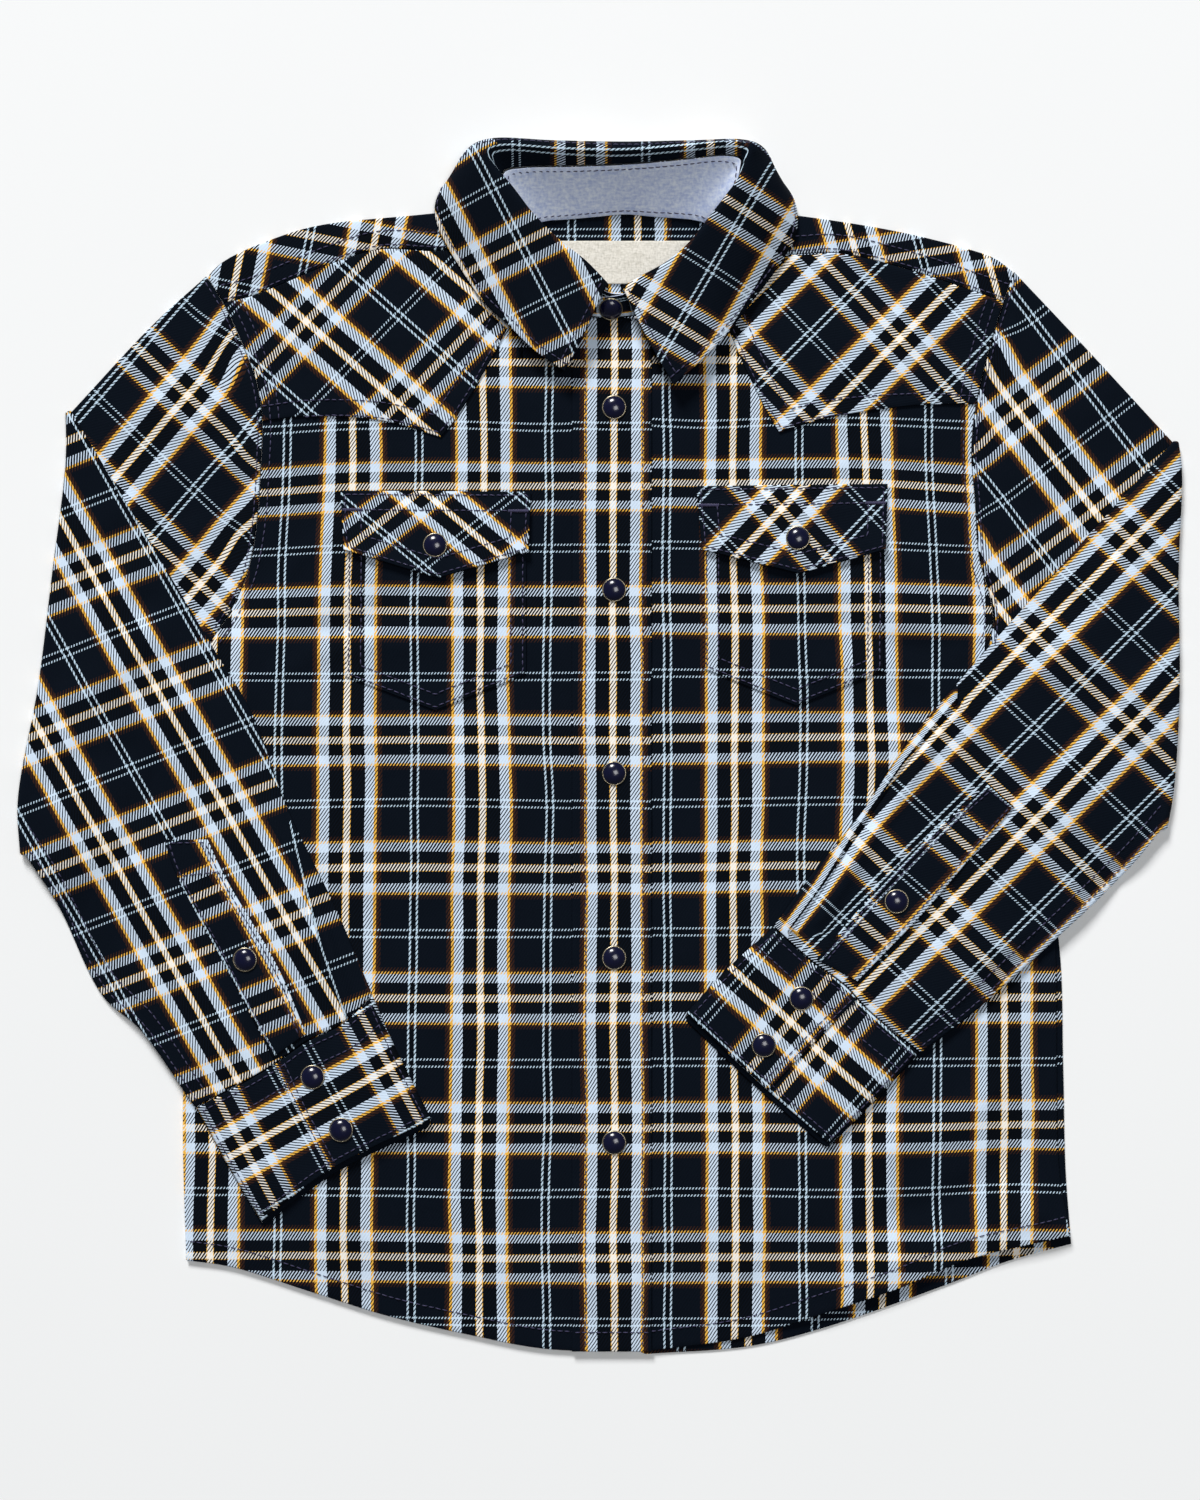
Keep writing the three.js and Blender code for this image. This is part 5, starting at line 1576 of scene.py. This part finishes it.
class SHIRT_OT_pockets(bpy.types.Operator):
    """Pointed chest pockets with bias flaps."""

    bl_idname = "shirt.pockets"
    bl_label = "Pockets and flaps"

    def execute(self, context):
        for number, side in enumerate(SIDES):
            self.pocket(side, number)
            self.flap(side, number)
        return {"FINISHED"}

    def pocket(self, side, number):
        plan = pointed_plan(POCKETS[side])
        piece = lay(
            "pocket_" + side, plan, on_front(0), front_uv(side, plan),
            seed=51 + number, settled=PRESSED,
        )
        outline = POCKETS[side][ROUND_THE_POINT]
        lines = [inset_corners(outline, distance) for distance in POCKET_STITCHES]
        sew("stitch_pocket_" + side, piece, lines, seed=53 + number)

    def flap(self, side, number):
        """The flap steps up from the front over the pocket's mouth."""
        corners = FLAPS[side]
        plan = pointed_plan(corners)
        name = "flap_" + side
        v = grid(plan.shape[1] - 1, plan.shape[0] - 1)[1]
        step_up = LAYER * rise(v, 0.34) + FLAP_LIFT * v**2
        sag = 0.5 * unevenness(plan[..., 0], plan[..., 1], 40, 57 + number) * rise(v - 0.4, 0.6)
        piece = lay(
            name, plan, lambda x, y: on_front(0)(x, y) + step_up + np.maximum(sag, -0.1),
            grain_uv(name, plan), seed=55 + number,
        )
        outline = corners[ROUND_THE_POINT]
        ring = inset_corners(outline, FLAP_EDGE_STITCH)
        row = corners[:2] + points((1, -FLAP_ROW), (-1, -FLAP_ROW))
        lines = [np.vstack([ring, ring[:1]]), inset_corners(outline, FLAP_STITCH), row]
        sew("stitch_flap_" + side, piece, lines, seed=58 + number)
        self.bar_tacks(side, piece, corners)

    def bar_tacks(self, side, piece, corners):
        """Dense satin bars at the flap's top corners."""
        find = surface_finder(piece)
        centres, directions, normals = [], [], []
        for corner, way in ((corners[0], 1), (corners[1], -1)):
            for k in range(TACK_STITCHES):
                x, y = corner[0] + way * (TACK_START + TACK_PITCH * k), corner[1] - FLAP_ROW
                found = find(x, y)
                if found:
                    centres.append((x, y, found[0] + 0.1))
                    directions.append((0.1, 1, 0))
                    normals.append(found[1])
        stitch("tack_flap_" + side, centres, directions, normals, seed=61, length=TACK_LENGTH)


def tube_ring(skin, across_steps):
    """A flat tube's section: place across, inset from the edge, and height in the tube."""
    low = 0.0 if skin == "outer" else WALL
    high = FLAT_TUBE - low
    inset = 0.0 if skin == "outer" else WALL
    middle, radius = FLAT_TUBE / 2, (high - low) / 2
    inner = np.linspace(0, 1, across_steps + 1)[1:-1]
    top = [(0, inset + radius, high)] + [(a, 0, high) for a in inner] + [(1, inset + radius, high)]
    turns = np.radians(TUBE_EDGE)
    right = [(1, inset + radius * (1 - math.cos(t)), middle + radius * math.sin(t)) for t in turns]
    bottom = [(a, i, low) for a, i, _ in top[::-1]]
    left = [(0, i, z) for _, i, z in right[::-1]]
    return np.array(top + right + bottom + left, float)


def ring_shares(ring, width):
    """A section's places as shares of the sleeve's width there."""
    across, inset = ring[:, 0], ring[:, 1]
    return np.where(across == 0, inset / width, np.where(across == 1, 1 - inset / width, across))


class SleevePlan:
    """The plan of a sleeve: its upper part, its crease and its forearm."""

    def __init__(self, side):
        self.side = side
        self.cut = SLEEVES[side]
        self.reach = FLAT_TUBE + CREASE_RADIUS
        self.crease = smooth(self.cut.crease)

        def seam(t):
            return armhole[side](t) + np.array([self.cut.outward * GAP, 0])

        self.upper = patch(
            ending_at(smooth(self.cut.over_upper), seam(0.0), self.axis(0.0)),
            ending_at(smooth(self.cut.under_upper), seam(1.0), self.axis(1.0)),
            seam, self.axis,
        )
        self.lower = patch(
            ending_at(smooth(self.cut.over_lower), self.axis(0.0)),
            ending_at(smooth(self.cut.under_lower), self.axis(1.0)),
            self.axis, smooth(self.cut.cuff_seam),
        )

    def pleat_place(self, down):
        """Where the pleat crosses the forearm at a share of its length, as a share of its width."""
        pleat = PLEATS[self.side]
        shares = np.linspace(0, 0.5, 101)
        p = self.lower(np.full(shares.shape, down), shares)
        line = np.interp(p[:, 1], pleat.line[::-1, 1], pleat.line[::-1, 0])
        return np.interp(0, (line - p[:, 0]) * pleat.side, shares)

    def beside_pleat(self, share, down, place, width):
        """Moves the grid so that one column follows the pleat, with its neighbours close by."""
        column = 1 / cells(SLEEVE_WIDTH)
        line = PLEAT_COLUMN * column
        place = max(place, 0.014)
        groove = GROOVE_AT / width
        close = min(groove, place / 2)
        knots = (0, line - column, line, line + column, line + 2 * column, 1)
        places = (0, place - close, place, place + groove, place + 2.4 / width, 1)
        blend = float(rise(down, 0.12))
        return share + (np.interp(share, knots, places) - share) * blend

    def width(self, surface, down):
        over, under = (surface(np.array(down), np.array(share)) for share in (0.0, 1.0))
        return np.linalg.norm(over - under)

    def out(self, t):
        """The way out of the elbow's crease."""
        t = np.asarray(t, float)
        tangent = self.crease(np.minimum(t + 0.01, 1)) - self.crease(np.maximum(t - 0.01, 0))
        return unit(turned_left(tangent)) * self.cut.outward

    def axis(self, t):
        return self.crease(t) - self.out(t) * self.reach


class SHIRT_OT_sleeves(bpy.types.Operator):
    """Flattened sleeves, folded at the elbow so that the forearms lie over the body."""

    bl_idname = "shirt.sleeves"
    bl_label = "Sleeves"

    def execute(self, context):
        for number, side in enumerate(SIDES):
            self.sleeve(side, number)
            self.placket(side, number)
        return {"FINISHED"}

    def sleeve(self, side, number):
        plan = SleevePlan(side)
        upper_rows, lower_rows = cells(UPPER_ARM), cells(FOREARM)
        face, back = (self.skin(plan, skin, upper_rows, lower_rows) for skin in ("outer", "inner"))
        uv = [upper_arm_uv(side, face), forearm_uv(side, face), pleat_uv(side, face)]
        zones = np.zeros((len(face) - 1, face.shape[1]), int)
        zones[upper_rows:] = 1
        strip_from = face.shape[1] - 1 - len(TUBE_EDGE) - PLEAT_COLUMN
        for step in range(1, lower_rows + 1):
            if plan.pleat_place(step / lower_rows) > PLEAT_SHOWS:
                zones[upper_rows + CREASE_ROWS + step - 1, strip_from:] = 2
        name = "sleeve_" + side
        piece = shell(name, face, back, uv, ring=True, zones=zones)
        around = patch_area(np.concatenate([face, face[:, :1]], axis=1))
        declare(piece, [name], SLEEVE_CUT, around)
        head = armhole[side](np.linspace(0.01, 0.99, 90))
        lines = [beside(head, -INWARD[side] * SLEEVE_HEAD_STITCH)]
        down = np.linspace(0.03, 0.985, 90)
        lines += [plan.lower(down, np.full(down.shape, share)) for share in SLEEVE_SEAM_SHARES]
        sew("stitch_sleeve_" + side, piece, lines, seed=73 + number)

    def skin(self, plan, skin, upper_rows, lower_rows):
        """One face of a sleeve's tube, row by row from the armhole to the cuff."""
        ring = tube_ring(skin, cells(SLEEVE_WIDTH))
        height = ring[:, 2]
        outline = UPPER_ARMS[plan.side]
        found = []
        for step in range(upper_rows):
            s = step / upper_rows
            share = ring_shares(ring, plan.width(plan.upper, s))
            p = plan.upper(np.full(share.shape, s), share)
            x, y = p[:, 0], p[:, 1]
            lift = np.clip((height - FLAT_TUBE / 2) / (FLAT_TUBE / 2), 0, 1)
            relief = upper_arm_relief(x, y, beyond(x, y, outline)) * (lift > 0)
            fade = math.exp(-((s * UPPER_ARM / GATHER_REACH) ** 2)) * rise(s, 0.03)
            gathers = GATHER * unevenness(x, y, GATHER_LENGTH, seed=75) * fade * lift
            found.append(with_height(p, height + np.maximum(relief, -0.25) + gathers))
        crease_width = np.linalg.norm(plan.axis(0.0) - plan.axis(1.0))
        share = ring_shares(ring, crease_width)
        radius = FLAT_TUBE - height + CREASE_RADIUS
        for turn in np.linspace(-math.pi / 2, math.pi / 2, CREASE_ROWS + 1):
            p = plan.axis(share) + plan.out(share) * (radius * math.cos(turn))[:, None]
            found.append(with_height(p, FLAT_TUBE + CREASE_RADIUS + radius * math.sin(turn)))
        for step in range(1, lower_rows + 1):
            s = step / lower_rows
            width, place = plan.width(plan.lower, s), plan.pleat_place(s)
            share = plan.beside_pleat(ring_shares(ring, width), s, place, width)
            p = plan.lower(np.full(share.shape, s), share)
            x, y = p[:, 0], p[:, 1]
            relief = forearm_relief(x, y, share, s)
            if place > PLEAT_SHOWS:
                away = (share - place) * width
                hidden = np.exp(-(((away - GROOVE_AT) / GROOVE_HALF) ** 2)) * (away > 0.3)
                turned = np.exp(-((away / RISE_HALF) ** 2))
                relief = relief + (PLEAT_RISE * turned - PLEAT_DEPTH * hidden) * rise(1 - s, 0.03)
            relief = np.maximum(relief, -0.8) * (height < FLAT_TUBE / 2)
            found.append(with_height(p, forearm_seat(x, y) + FLAT_TUBE - height + relief))
        return np.array(found)

    def placket(self, side, number):
        cut = SLEEVES[side]
        over, under = smooth(cut.placket_over), smooth(cut.placket_under)
        u, v = grid(cells(18) + 2, cells(105))
        plan = over(v) * (1 - u[..., None]) + under(v) * u[..., None]
        heights = [height for height, _ in seats("sleeve_" + side, plan.reshape(-1, 2))]
        seat = np.reshape(heights, plan.shape[:2])
        name = "sleeve_placket_" + side
        piece = lay(
            name, plan, lambda x, y: seat + GAP, grain_uv(name, plan),
            seed=77 + number, settled=PRESSED,
        )
        shares = np.linspace(0.02, 0.98, 50)
        lines = [over(shares) * (1 - across) + under(shares) * across for across in (0.09, 0.91, 0.18)]
        shares = np.linspace(0.09, 0.91, 12)
        lines += [straight(over(down), under(down))(shares) for down in (0.015, 0.16)]
        sew("stitch_sleeve_placket_" + side, piece, lines, seed=79 + number)


class SHIRT_OT_cuffs(bpy.types.Operator):
    """Wrapped cuffs, lapped and snapped."""

    bl_idname = "shirt.cuffs"
    bl_label = "Cuffs"

    def execute(self, context):
        for number, side in enumerate(SIDES):
            self.cuff(side, number)
        return {"FINISHED"}

    def cuff(self, side, number):
        cut = SLEEVES[side]
        seam, end, over, under = (
            smooth(line) for line in (cut.cuff_seam, cut.cuff_end, cut.cuff_over, cut.cuff_under)
        )
        away = end(0.5) - seam(0.5)
        depth = np.linalg.norm(away)
        away = away / depth
        start = away * 2 * GAP
        surface = patch(
            ending_at(seam, seam(0.0) + start, seam(1.0) + start), end,
            ending_at(over, first=over(0.0) + start), ending_at(under, first=under(0.0) + start),
        )
        width = np.linalg.norm(over(0.5) - under(0.5))
        section = np.column_stack([CUFF_BAND * np.array([width, 1]), CUFF_LINING])
        count = cells(CUFF_ROUND)
        band = smooth(section)(np.linspace(0, 1, count + 1))
        across, face_z, lining_z = band[:, 0] / width, band[:, 1], band[:, 2]
        rows_v = np.linspace(0, 1, cells(CUFF_DEPTH) + 1)
        faces = []
        for heights, inset in ((face_z, 0.0), (lining_z, WALL / width)):
            share = np.clip(across, inset, 1 - inset)
            u, v = np.meshgrid(share, rows_v)
            p = surface(u, v)
            below = np.clip((CUFF_UNDER - heights) / CUFF_UNDER, 0, 1)[None, :, None]
            p = p + away * CUFF_PEEK * below * (v**3)[..., None]
            x, y = p[..., 0], p[..., 1]
            wave = np.abs(0.3 * unevenness(x, y, 30, 83 + number)) * (heights > CUFF_UPPER)
            wave = wave * rise(share * (1 - share), 0.08)
            faces.append(with_height(p, forearm_seat(x, y) + heights + wave))
        face, back = faces
        back = face + (back - face) * bpy.context.scene.shirt_sizes.cloth / WALL
        lap = np.arange(count) < count * CUFF_LAP
        uv = [grain_uv("cuff_" + side, face), grain_uv("cuff_" + side + "_lap", face)]
        # Where the lower layer peeks past the cuff's end it is all dark ground: painted shade under the end,
        # together with the cloth's dark inside.
        peek_inside_and_shade = np.outer(rows_v > 0.9, face_z < CUFF_UNDER)
        for layer in uv:
            layer[peek_inside_and_shade] = GROUND_PLACE
        name = "cuff_" + side
        piece = shell(name, face, back, uv, zones=lap.astype(int))
        flat = (CUFF_CUT_SHARE * width - CUFF_CUT_LESS, depth)
        declare(piece, [name], flat, patch_area(face))
        shares = np.linspace(0.02, 0.98, 60)
        lines = [surface(shares, np.full(shares.shape, v)) for v in CUFF_STITCH_SHARES]
        down = np.linspace(0.03, 0.97, 40)
        edges = [CUFF_BAND[0, 0] - inset / width for inset in LAP_STITCHES] + [0.03, 0.97]
        lines += [surface(np.full(down.shape, edge), down) for edge in edges]
        sew("stitch_cuff_" + side, piece, lines, seed=85 + number)


def collar_sections(table, columns, count):
    """Evenly spaced sections through the collar's rows, for the named columns."""
    values = np.array([[getattr(row, column) for column in columns] for row in table], float)
    return smooth(values)(np.linspace(0, 1, count + 1))


def stand_top(crest):
    """The lining's share of the inner height, by how far right its section's crest is."""
    return np.interp(crest[:, 0], (-50, 50), STAND_TOP)


def surface_normals(surface):
    return unit(np.cross(np.gradient(surface, axis=1), np.gradient(surface, axis=0)))


def thickened(surface, thickness):
    """A like grid moved out along the surface's own normals."""
    return surface + surface_normals(surface) * thickness


class SHIRT_OT_collar(bpy.types.Operator):
    """Collar stand with its grey-blue lining, the leaf that falls over it, and the label."""

    bl_idname = "shirt.collar"
    bl_label = "Collar"

    def execute(self, context):
        self.stand()
        self.leaf()
        self.label()
        return {"FINISHED"}

    def stand(self):
        names = ("neck_x", "neck_y", "neck_z", "crest_x", "crest_y", "crest_z")
        sections = collar_sections(COLLAR, names, STAND_SECTIONS)
        neck, crest = sections[:, :3], sections[:, 3:]
        top = stand_top(crest)[:, None, None] - 0.02
        shares = np.linspace(0, 1, STAND_ROWS + 1)[None, :, None] * top
        outer = neck[:, None] * (1 - shares) + crest[:, None] * shares
        layers = [thickened(outer, -depth) for depth in STAND_LAYERS]
        v, u = grid(STAND_ROWS, STAND_SECTIONS)
        uv = [np.stack([0.1 + 0.5 * v, 7 * u], axis=-1)]
        outside = shell("collar_stand", layers[0], layers[1], uv)
        lining = shell("collar_stand_lining", layers[3], layers[2], uv, material="chambray")
        area = patch_area(outer)
        for piece, slot in ((lining, "chambray"), (outside, "check_twill")):
            declare(piece, ["collar_stand"], STAND_CUT, area)
        self.sew_lining(layers[3])

    def sew_lining(self, inside):
        """Two rows of stitches round the lining, near its foot and near its top."""
        sizes = bpy.context.scene.shirt_sizes
        normal = -surface_normals(inside)
        centres, directions, normals = [], [], []
        for column in (1, inside.shape[1] - 2):
            line, facing = inside[:, column], along(normal[:, column])
            places, ahead = spaced(line, sizes.stitch_pitch)
            centres += list(places)
            directions += list(ahead)
            normals += list(facing((np.arange(len(places)) + 0.5) / len(places)))
        stitch("stitch_stand_lining", centres, directions, normals, seed=91)

    def leaf(self):
        table = [row for row in COLLAR if row.place != "tab"]
        sections = collar_sections(table, table[0]._fields[1:], LEAF_SECTIONS)
        neck, crest, edge = sections[:, :3], sections[:, 3:6], sections[:, 6:]
        join = neck + (crest - neck) * stand_top(crest)[:, None]
        fall = (crest + edge) / 2
        fall[:, :2] += unit(fall[:, :2] - NECK_CENTRE) * LEAF_BOW_OUT
        fall[:, 2] += LEAF_BOW_UP
        sections = []
        for profile in np.stack([join, crest, fall, edge], axis=1):
            line = rounded_line(profile)
            roll = along(line[: CURVE_FINENESS + 1])(np.linspace(0, 1, ROLL_COLUMNS + 1))
            rest = along(line[CURVE_FINENESS:])(np.linspace(0, 1, FALL_COLUMNS + 1))
            sections.append(np.vstack([roll, rest[1:]]))
        inside = np.array(sections)
        outside = thickened(inside, -WALL)
        lengths = np.linalg.norm(np.diff(outside, axis=1), axis=-1)
        down = np.concatenate([np.zeros((len(outside), 1)), np.cumsum(lengths, axis=1)], axis=1)
        from_crest = down - down[:, [ROLL_COLUMNS]]
        dots = np.interp(outside[..., 0], *STRIP_DOTS)
        along_strip = (outside[..., 0] - STRIP_START) / WEFT_REPEAT
        strip = np.stack([0.5 + (from_crest + dots) / WARP_REPEAT, along_strip], axis=-1)
        uv = [strip, grain_uv("leaf_left", outside), grain_uv("leaf_right", outside)]
        zones = np.zeros((len(outside) - 1, outside.shape[1] - 1), int)
        turned = slice(ROLL_COLUMNS - 1, None)
        crest_x, crest_y = crest[:-1, 0], crest[:-1, 1]
        behind = (crest_y > BACK_CREST) & (crest_x > LEAF_ENDS[0]) & (crest_x < LEAF_ENDS[1])
        zones[:, turned] = np.where(behind, 0, np.where(crest_x < 0, 1, 2))[:, None]
        piece = shell("collar_leaf", outside, inside, uv, zones=zones)
        area = patch_area(outside)
        declare(piece, ["collar_leaf"], LEAF_CUT, area)
        lines = [outside[:, -3, :2]]
        lines += [outside[row, ROLL_COLUMNS + 1 : -2, :2] for row in (2, -3)]
        sew("stitch_collar", piece, lines, seed=93)

    def label(self):
        plan = rectangle(LABEL_LEFT, LABEL_RIGHT, LABEL_TOP, LABEL_FOOT)(*grid(*LABEL_GRID))
        x, y = plan[..., 0], plan[..., 1]
        top = LAYER + WALL - LABEL_SINK + LABEL_WAVE * unevenness(x, y, 14, 95)
        face, back = with_height(plan, top), with_height(plan, top - LABEL_TAPE)
        piece = shell("neck_label", face, back, None, material="label_cloth")
        declare(piece, ["neck_label"], plan_cut(plan), patch_area(plan))


def lathe(profile, facets, closed):
    """Points and faces of a turned shape; a closed profile joins its end to its start."""
    angles = np.linspace(0, 2 * math.pi, facets, endpoint=False)
    rings = [(r * np.cos(angles), r * np.sin(angles), np.full(facets, z)) for r, z in profile]
    vertices = np.concatenate([np.stack(ring, axis=-1) for ring in rings])
    last = len(profile) if closed else len(profile) - 1
    faces = []
    for i in range(last):
        j = (i + 1) % len(profile)
        for k in range(facets):
            m = (k + 1) % facets
            faces.append((i * facets + k, i * facets + m, j * facets + m, j * facets + k))
    return vertices, faces


class SHIRT_OT_snaps(bpy.types.Operator):
    """Domed enamel caps in thin metal rims."""

    bl_idname = "shirt.snaps"
    bl_label = "Snaps"

    def execute(self, context):
        for snap in SNAPS:
            seat, normal = seats(snap.rests_on, [(snap.x, snap.y)])[0]
            self.snap(snap.name, np.array([snap.x, snap.y, seat + SNAP_LIFT]), normal)
        low, high = (np.array(corner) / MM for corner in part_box("snap_stand"))
        lean = np.array([0, -math.sin(STAND_SNAP_LEAN), math.cos(STAND_SNAP_LEAN)])
        centre = (low + high) / 2 - lean * SNAP_DOME[0, 1] / 2
        self.snap("snap_stand", centre, lean)
        return {"FINISHED"}

    def snap(self, name, centre, normal):
        normal = unit(normal)
        sideways = unit(np.cross([0, 1, 0], normal))
        turned = np.stack([sideways, np.cross(normal, sideways), normal])
        facets = bpy.context.scene.shirt_sizes.snap_facets
        cap = np.vstack([rounded_line(SNAP_DOME[:-1])[::SNAP_STEP], SNAP_DOME[-2:]])
        rim = rounded_line(np.vstack([SNAP_RIM, SNAP_RIM[:1]]))[:-1:SNAP_STEP]
        for suffix, profile, closed, material in (
            ("_cap", cap, False, "snap_enamel"),
            ("_rim", rim, True, "snap_rim"),
        ):
            vertices, faces = lathe(profile, facets, closed)
            vertices = (centre + vertices @ turned) * MM
            made = mesh_object(name + suffix, vertices, faces, material)
            self.weld(made)
            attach(made, "root")
            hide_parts(name)

    def weld(self, made):
        """Joins the points that meet on the axis and turns every face outwards."""
        mesh = bmesh.new()
        mesh.from_mesh(made.data)
        bmesh.ops.remove_doubles(mesh, verts=mesh.verts, dist=1e-6)
        bmesh.ops.recalc_face_normals(mesh, faces=mesh.faces)
        mesh.to_mesh(made.data)
        mesh.free()


class SHIRT_OT_stage(bpy.types.Operator):
    """Pale floor, soft light from the top left, and the camera straight above."""

    bl_idname = "shirt.stage"
    bl_label = "Stage"

    def execute(self, context):
        self.floor()
        self.lights(context)
        self.camera(context)
        context.scene.view_settings.view_transform = "Standard"
        return {"FINISHED"}

    def floor(self):
        corners = [(x * FLOOR_REACH, y * FLOOR_REACH, -FLOOR_DROP) for x, y in CORNER_SIGNS]
        made = mesh_object("floor", np.array(corners) * MM, [(0, 1, 2, 3)], "pale_floor")

    def lights(self, context):
        world = bpy.data.worlds.new("soft_room")
        world.use_nodes = True
        background = world.node_tree.nodes["Background"]
        background.inputs[0].default_value = ROOM_COLOUR
        background.inputs[1].default_value = ROOM_STRENGTH
        context.scene.world = world
        for row in LAMPS:
            lamp = bpy.data.lights.new(row.name, "AREA")
            lamp.size = row.size
            lamp.energy = row.power
            made = bpy.data.objects.new(row.name, lamp)
            context.scene.collection.objects.link(made)
            made.location = Vector(row.place) * MM
            made.rotation_euler = (-made.location).to_track_quat("-Z", "Y").to_euler()

    def camera(self, context):
        lens = bpy.data.cameras.new("camera")
        lens.lens = SENSOR * CAMERA_HEIGHT / (PHOTO_TOP - PHOTO_FOOT)
        lens.sensor_width = SENSOR
        made = bpy.data.objects.new("camera", lens)
        context.scene.collection.objects.link(made)
        centre = ((PHOTO_LEFT + PHOTO_RIGHT) / 2, (PHOTO_FOOT + PHOTO_TOP) / 2, CAMERA_HEIGHT)
        made.location = Vector(centre) * MM
        context.scene.camera = made


def measure(name, description, default):
    return FloatProperty(name=name, description=description, default=default)


class ShirtSizes(bpy.types.PropertyGroup):
    """Sizes in millimetres, unless they say a share or a count."""

    cell: measure("Cell", "Fineness of the cloth, in millimetres", 2.5)
    cloth: measure("Cloth", "Thickness of a piece, in millimetres", 0.8)
    puff: measure("Puff", "Rise of the fronts' middle, in millimetres", 1.6)
    puff_fade: measure("Puff fade", "Distance over which the fronts rise", 42)
    sleeve_puff: measure("Sleeve puff", "Rise of the forearms", 1.8)
    crease_depth: FloatProperty(
        name="Crease depth", description="Share of the creases' depth", default=1.4, subtype="FACTOR"
    )
    pucker: measure("Pucker", "Depth of the waves beside seams", 0.22)
    pucker_width: measure("Pucker width", "Their reach from the edge", 8)
    edge_round: measure("Edge", "Rounding of turned edges", 0.4)
    edge_facets: IntProperty(name="Edge facets", description="Facets round a turned edge", default=3, min=1)
    stitch_pitch: measure("Stitch pitch", "From stitch to stitch", 3.0)
    stitch_length: measure("Stitch length", "Length that shows", 2.3)
    thread: measure("Thread", "Thickness of the thread", 0.5)
    snap_facets: IntProperty(name="Snap facets", description="Facets round a snap", default=40, min=8)


def colour_property(name, description, hex_colour):
    return FloatVectorProperty(
        name=name, description=description, default=linear(hex_colour), subtype="COLOR", size=3, min=0, max=1
    )


class ShirtColours(bpy.types.PropertyGroup):
    """Colours of the yarns, the fittings and the stage."""

    ground: colour_property("Ground", "Large dark squares of the check", "#050c16")
    shade: colour_property("Shade", "Dark gaps inside the triple stripe", "#03060c")
    light: colour_property("Light", "Blue-white stripes", "#d6e7f9")
    cream: colour_property("Cream", "Middle stripe", "#fbf5ea")
    gold: colour_property("Gold", "Yellow edges of the stripes", "#f7bd4c")
    brown: colour_property("Brown", "Shadow of the yellow edges", "#452816")
    ice: colour_property("Ice", "Thin dotted pair", "#c4dced")
    fuzz: colour_property("Fuzz", "Loose fibres on the cloth", "#4a5260")
    thread: colour_property("Thread", "Sewing thread", "#221f42")
    # The lining's two yarn colours are paler than its cloth, to make up for the light its upright face
    # misses: painted light.
    chambray_dark: colour_property("Lining, dark", "Darker yarns of the lining", "#b9c8ec")
    chambray_pale: colour_property("Lining, pale", "Paler yarns of the lining", "#e9f1ff")
    enamel: colour_property("Enamel", "Snap caps", "#0d1030")
    rim: colour_property("Rim", "Snap rims", "#b9ae93")
    floor: colour_property("Floor", "Surface under the shirt", "#f6f7f7")


OPERATORS = (
    SHIRT_OT_stage,
    SHIRT_OT_back,
    SHIRT_OT_fronts,
    SHIRT_OT_yokes,
    SHIRT_OT_pockets,
    SHIRT_OT_sleeves,
    SHIRT_OT_cuffs,
    SHIRT_OT_collar,
    SHIRT_OT_snaps,
)


class SHIRT_PT_panel(bpy.types.Panel):
    bl_idname = "SHIRT_PT_panel"
    bl_label = "Western snap shirt"
    bl_space_type = "VIEW_3D"
    bl_region_type = "UI"
    bl_category = "Shirt"

    def draw(self, context):
        for operator in OPERATORS:
            self.layout.operator(operator.bl_idname)
        for group in (context.scene.shirt_sizes, context.scene.shirt_colours):
            for name in group.__annotations__:
                self.layout.prop(group, name)


CLASSES = (ShirtSizes, ShirtColours, *OPERATORS, SHIRT_PT_panel)


def register():
    for item in CLASSES:
        bpy.utils.register_class(item)
    bpy.types.Scene.shirt_sizes = PointerProperty(type=ShirtSizes)
    bpy.types.Scene.shirt_colours = PointerProperty(type=ShirtColours)


def unregister():
    del bpy.types.Scene.shirt_colours
    del bpy.types.Scene.shirt_sizes
    for item in reversed(CLASSES):
        bpy.utils.unregister_class(item)


def main():
    register()
    for operator in OPERATORS:
        group, name = operator.bl_idname.split(".")
        getattr(getattr(bpy.ops, group), name)()


if __name__ == "__main__":
    main()
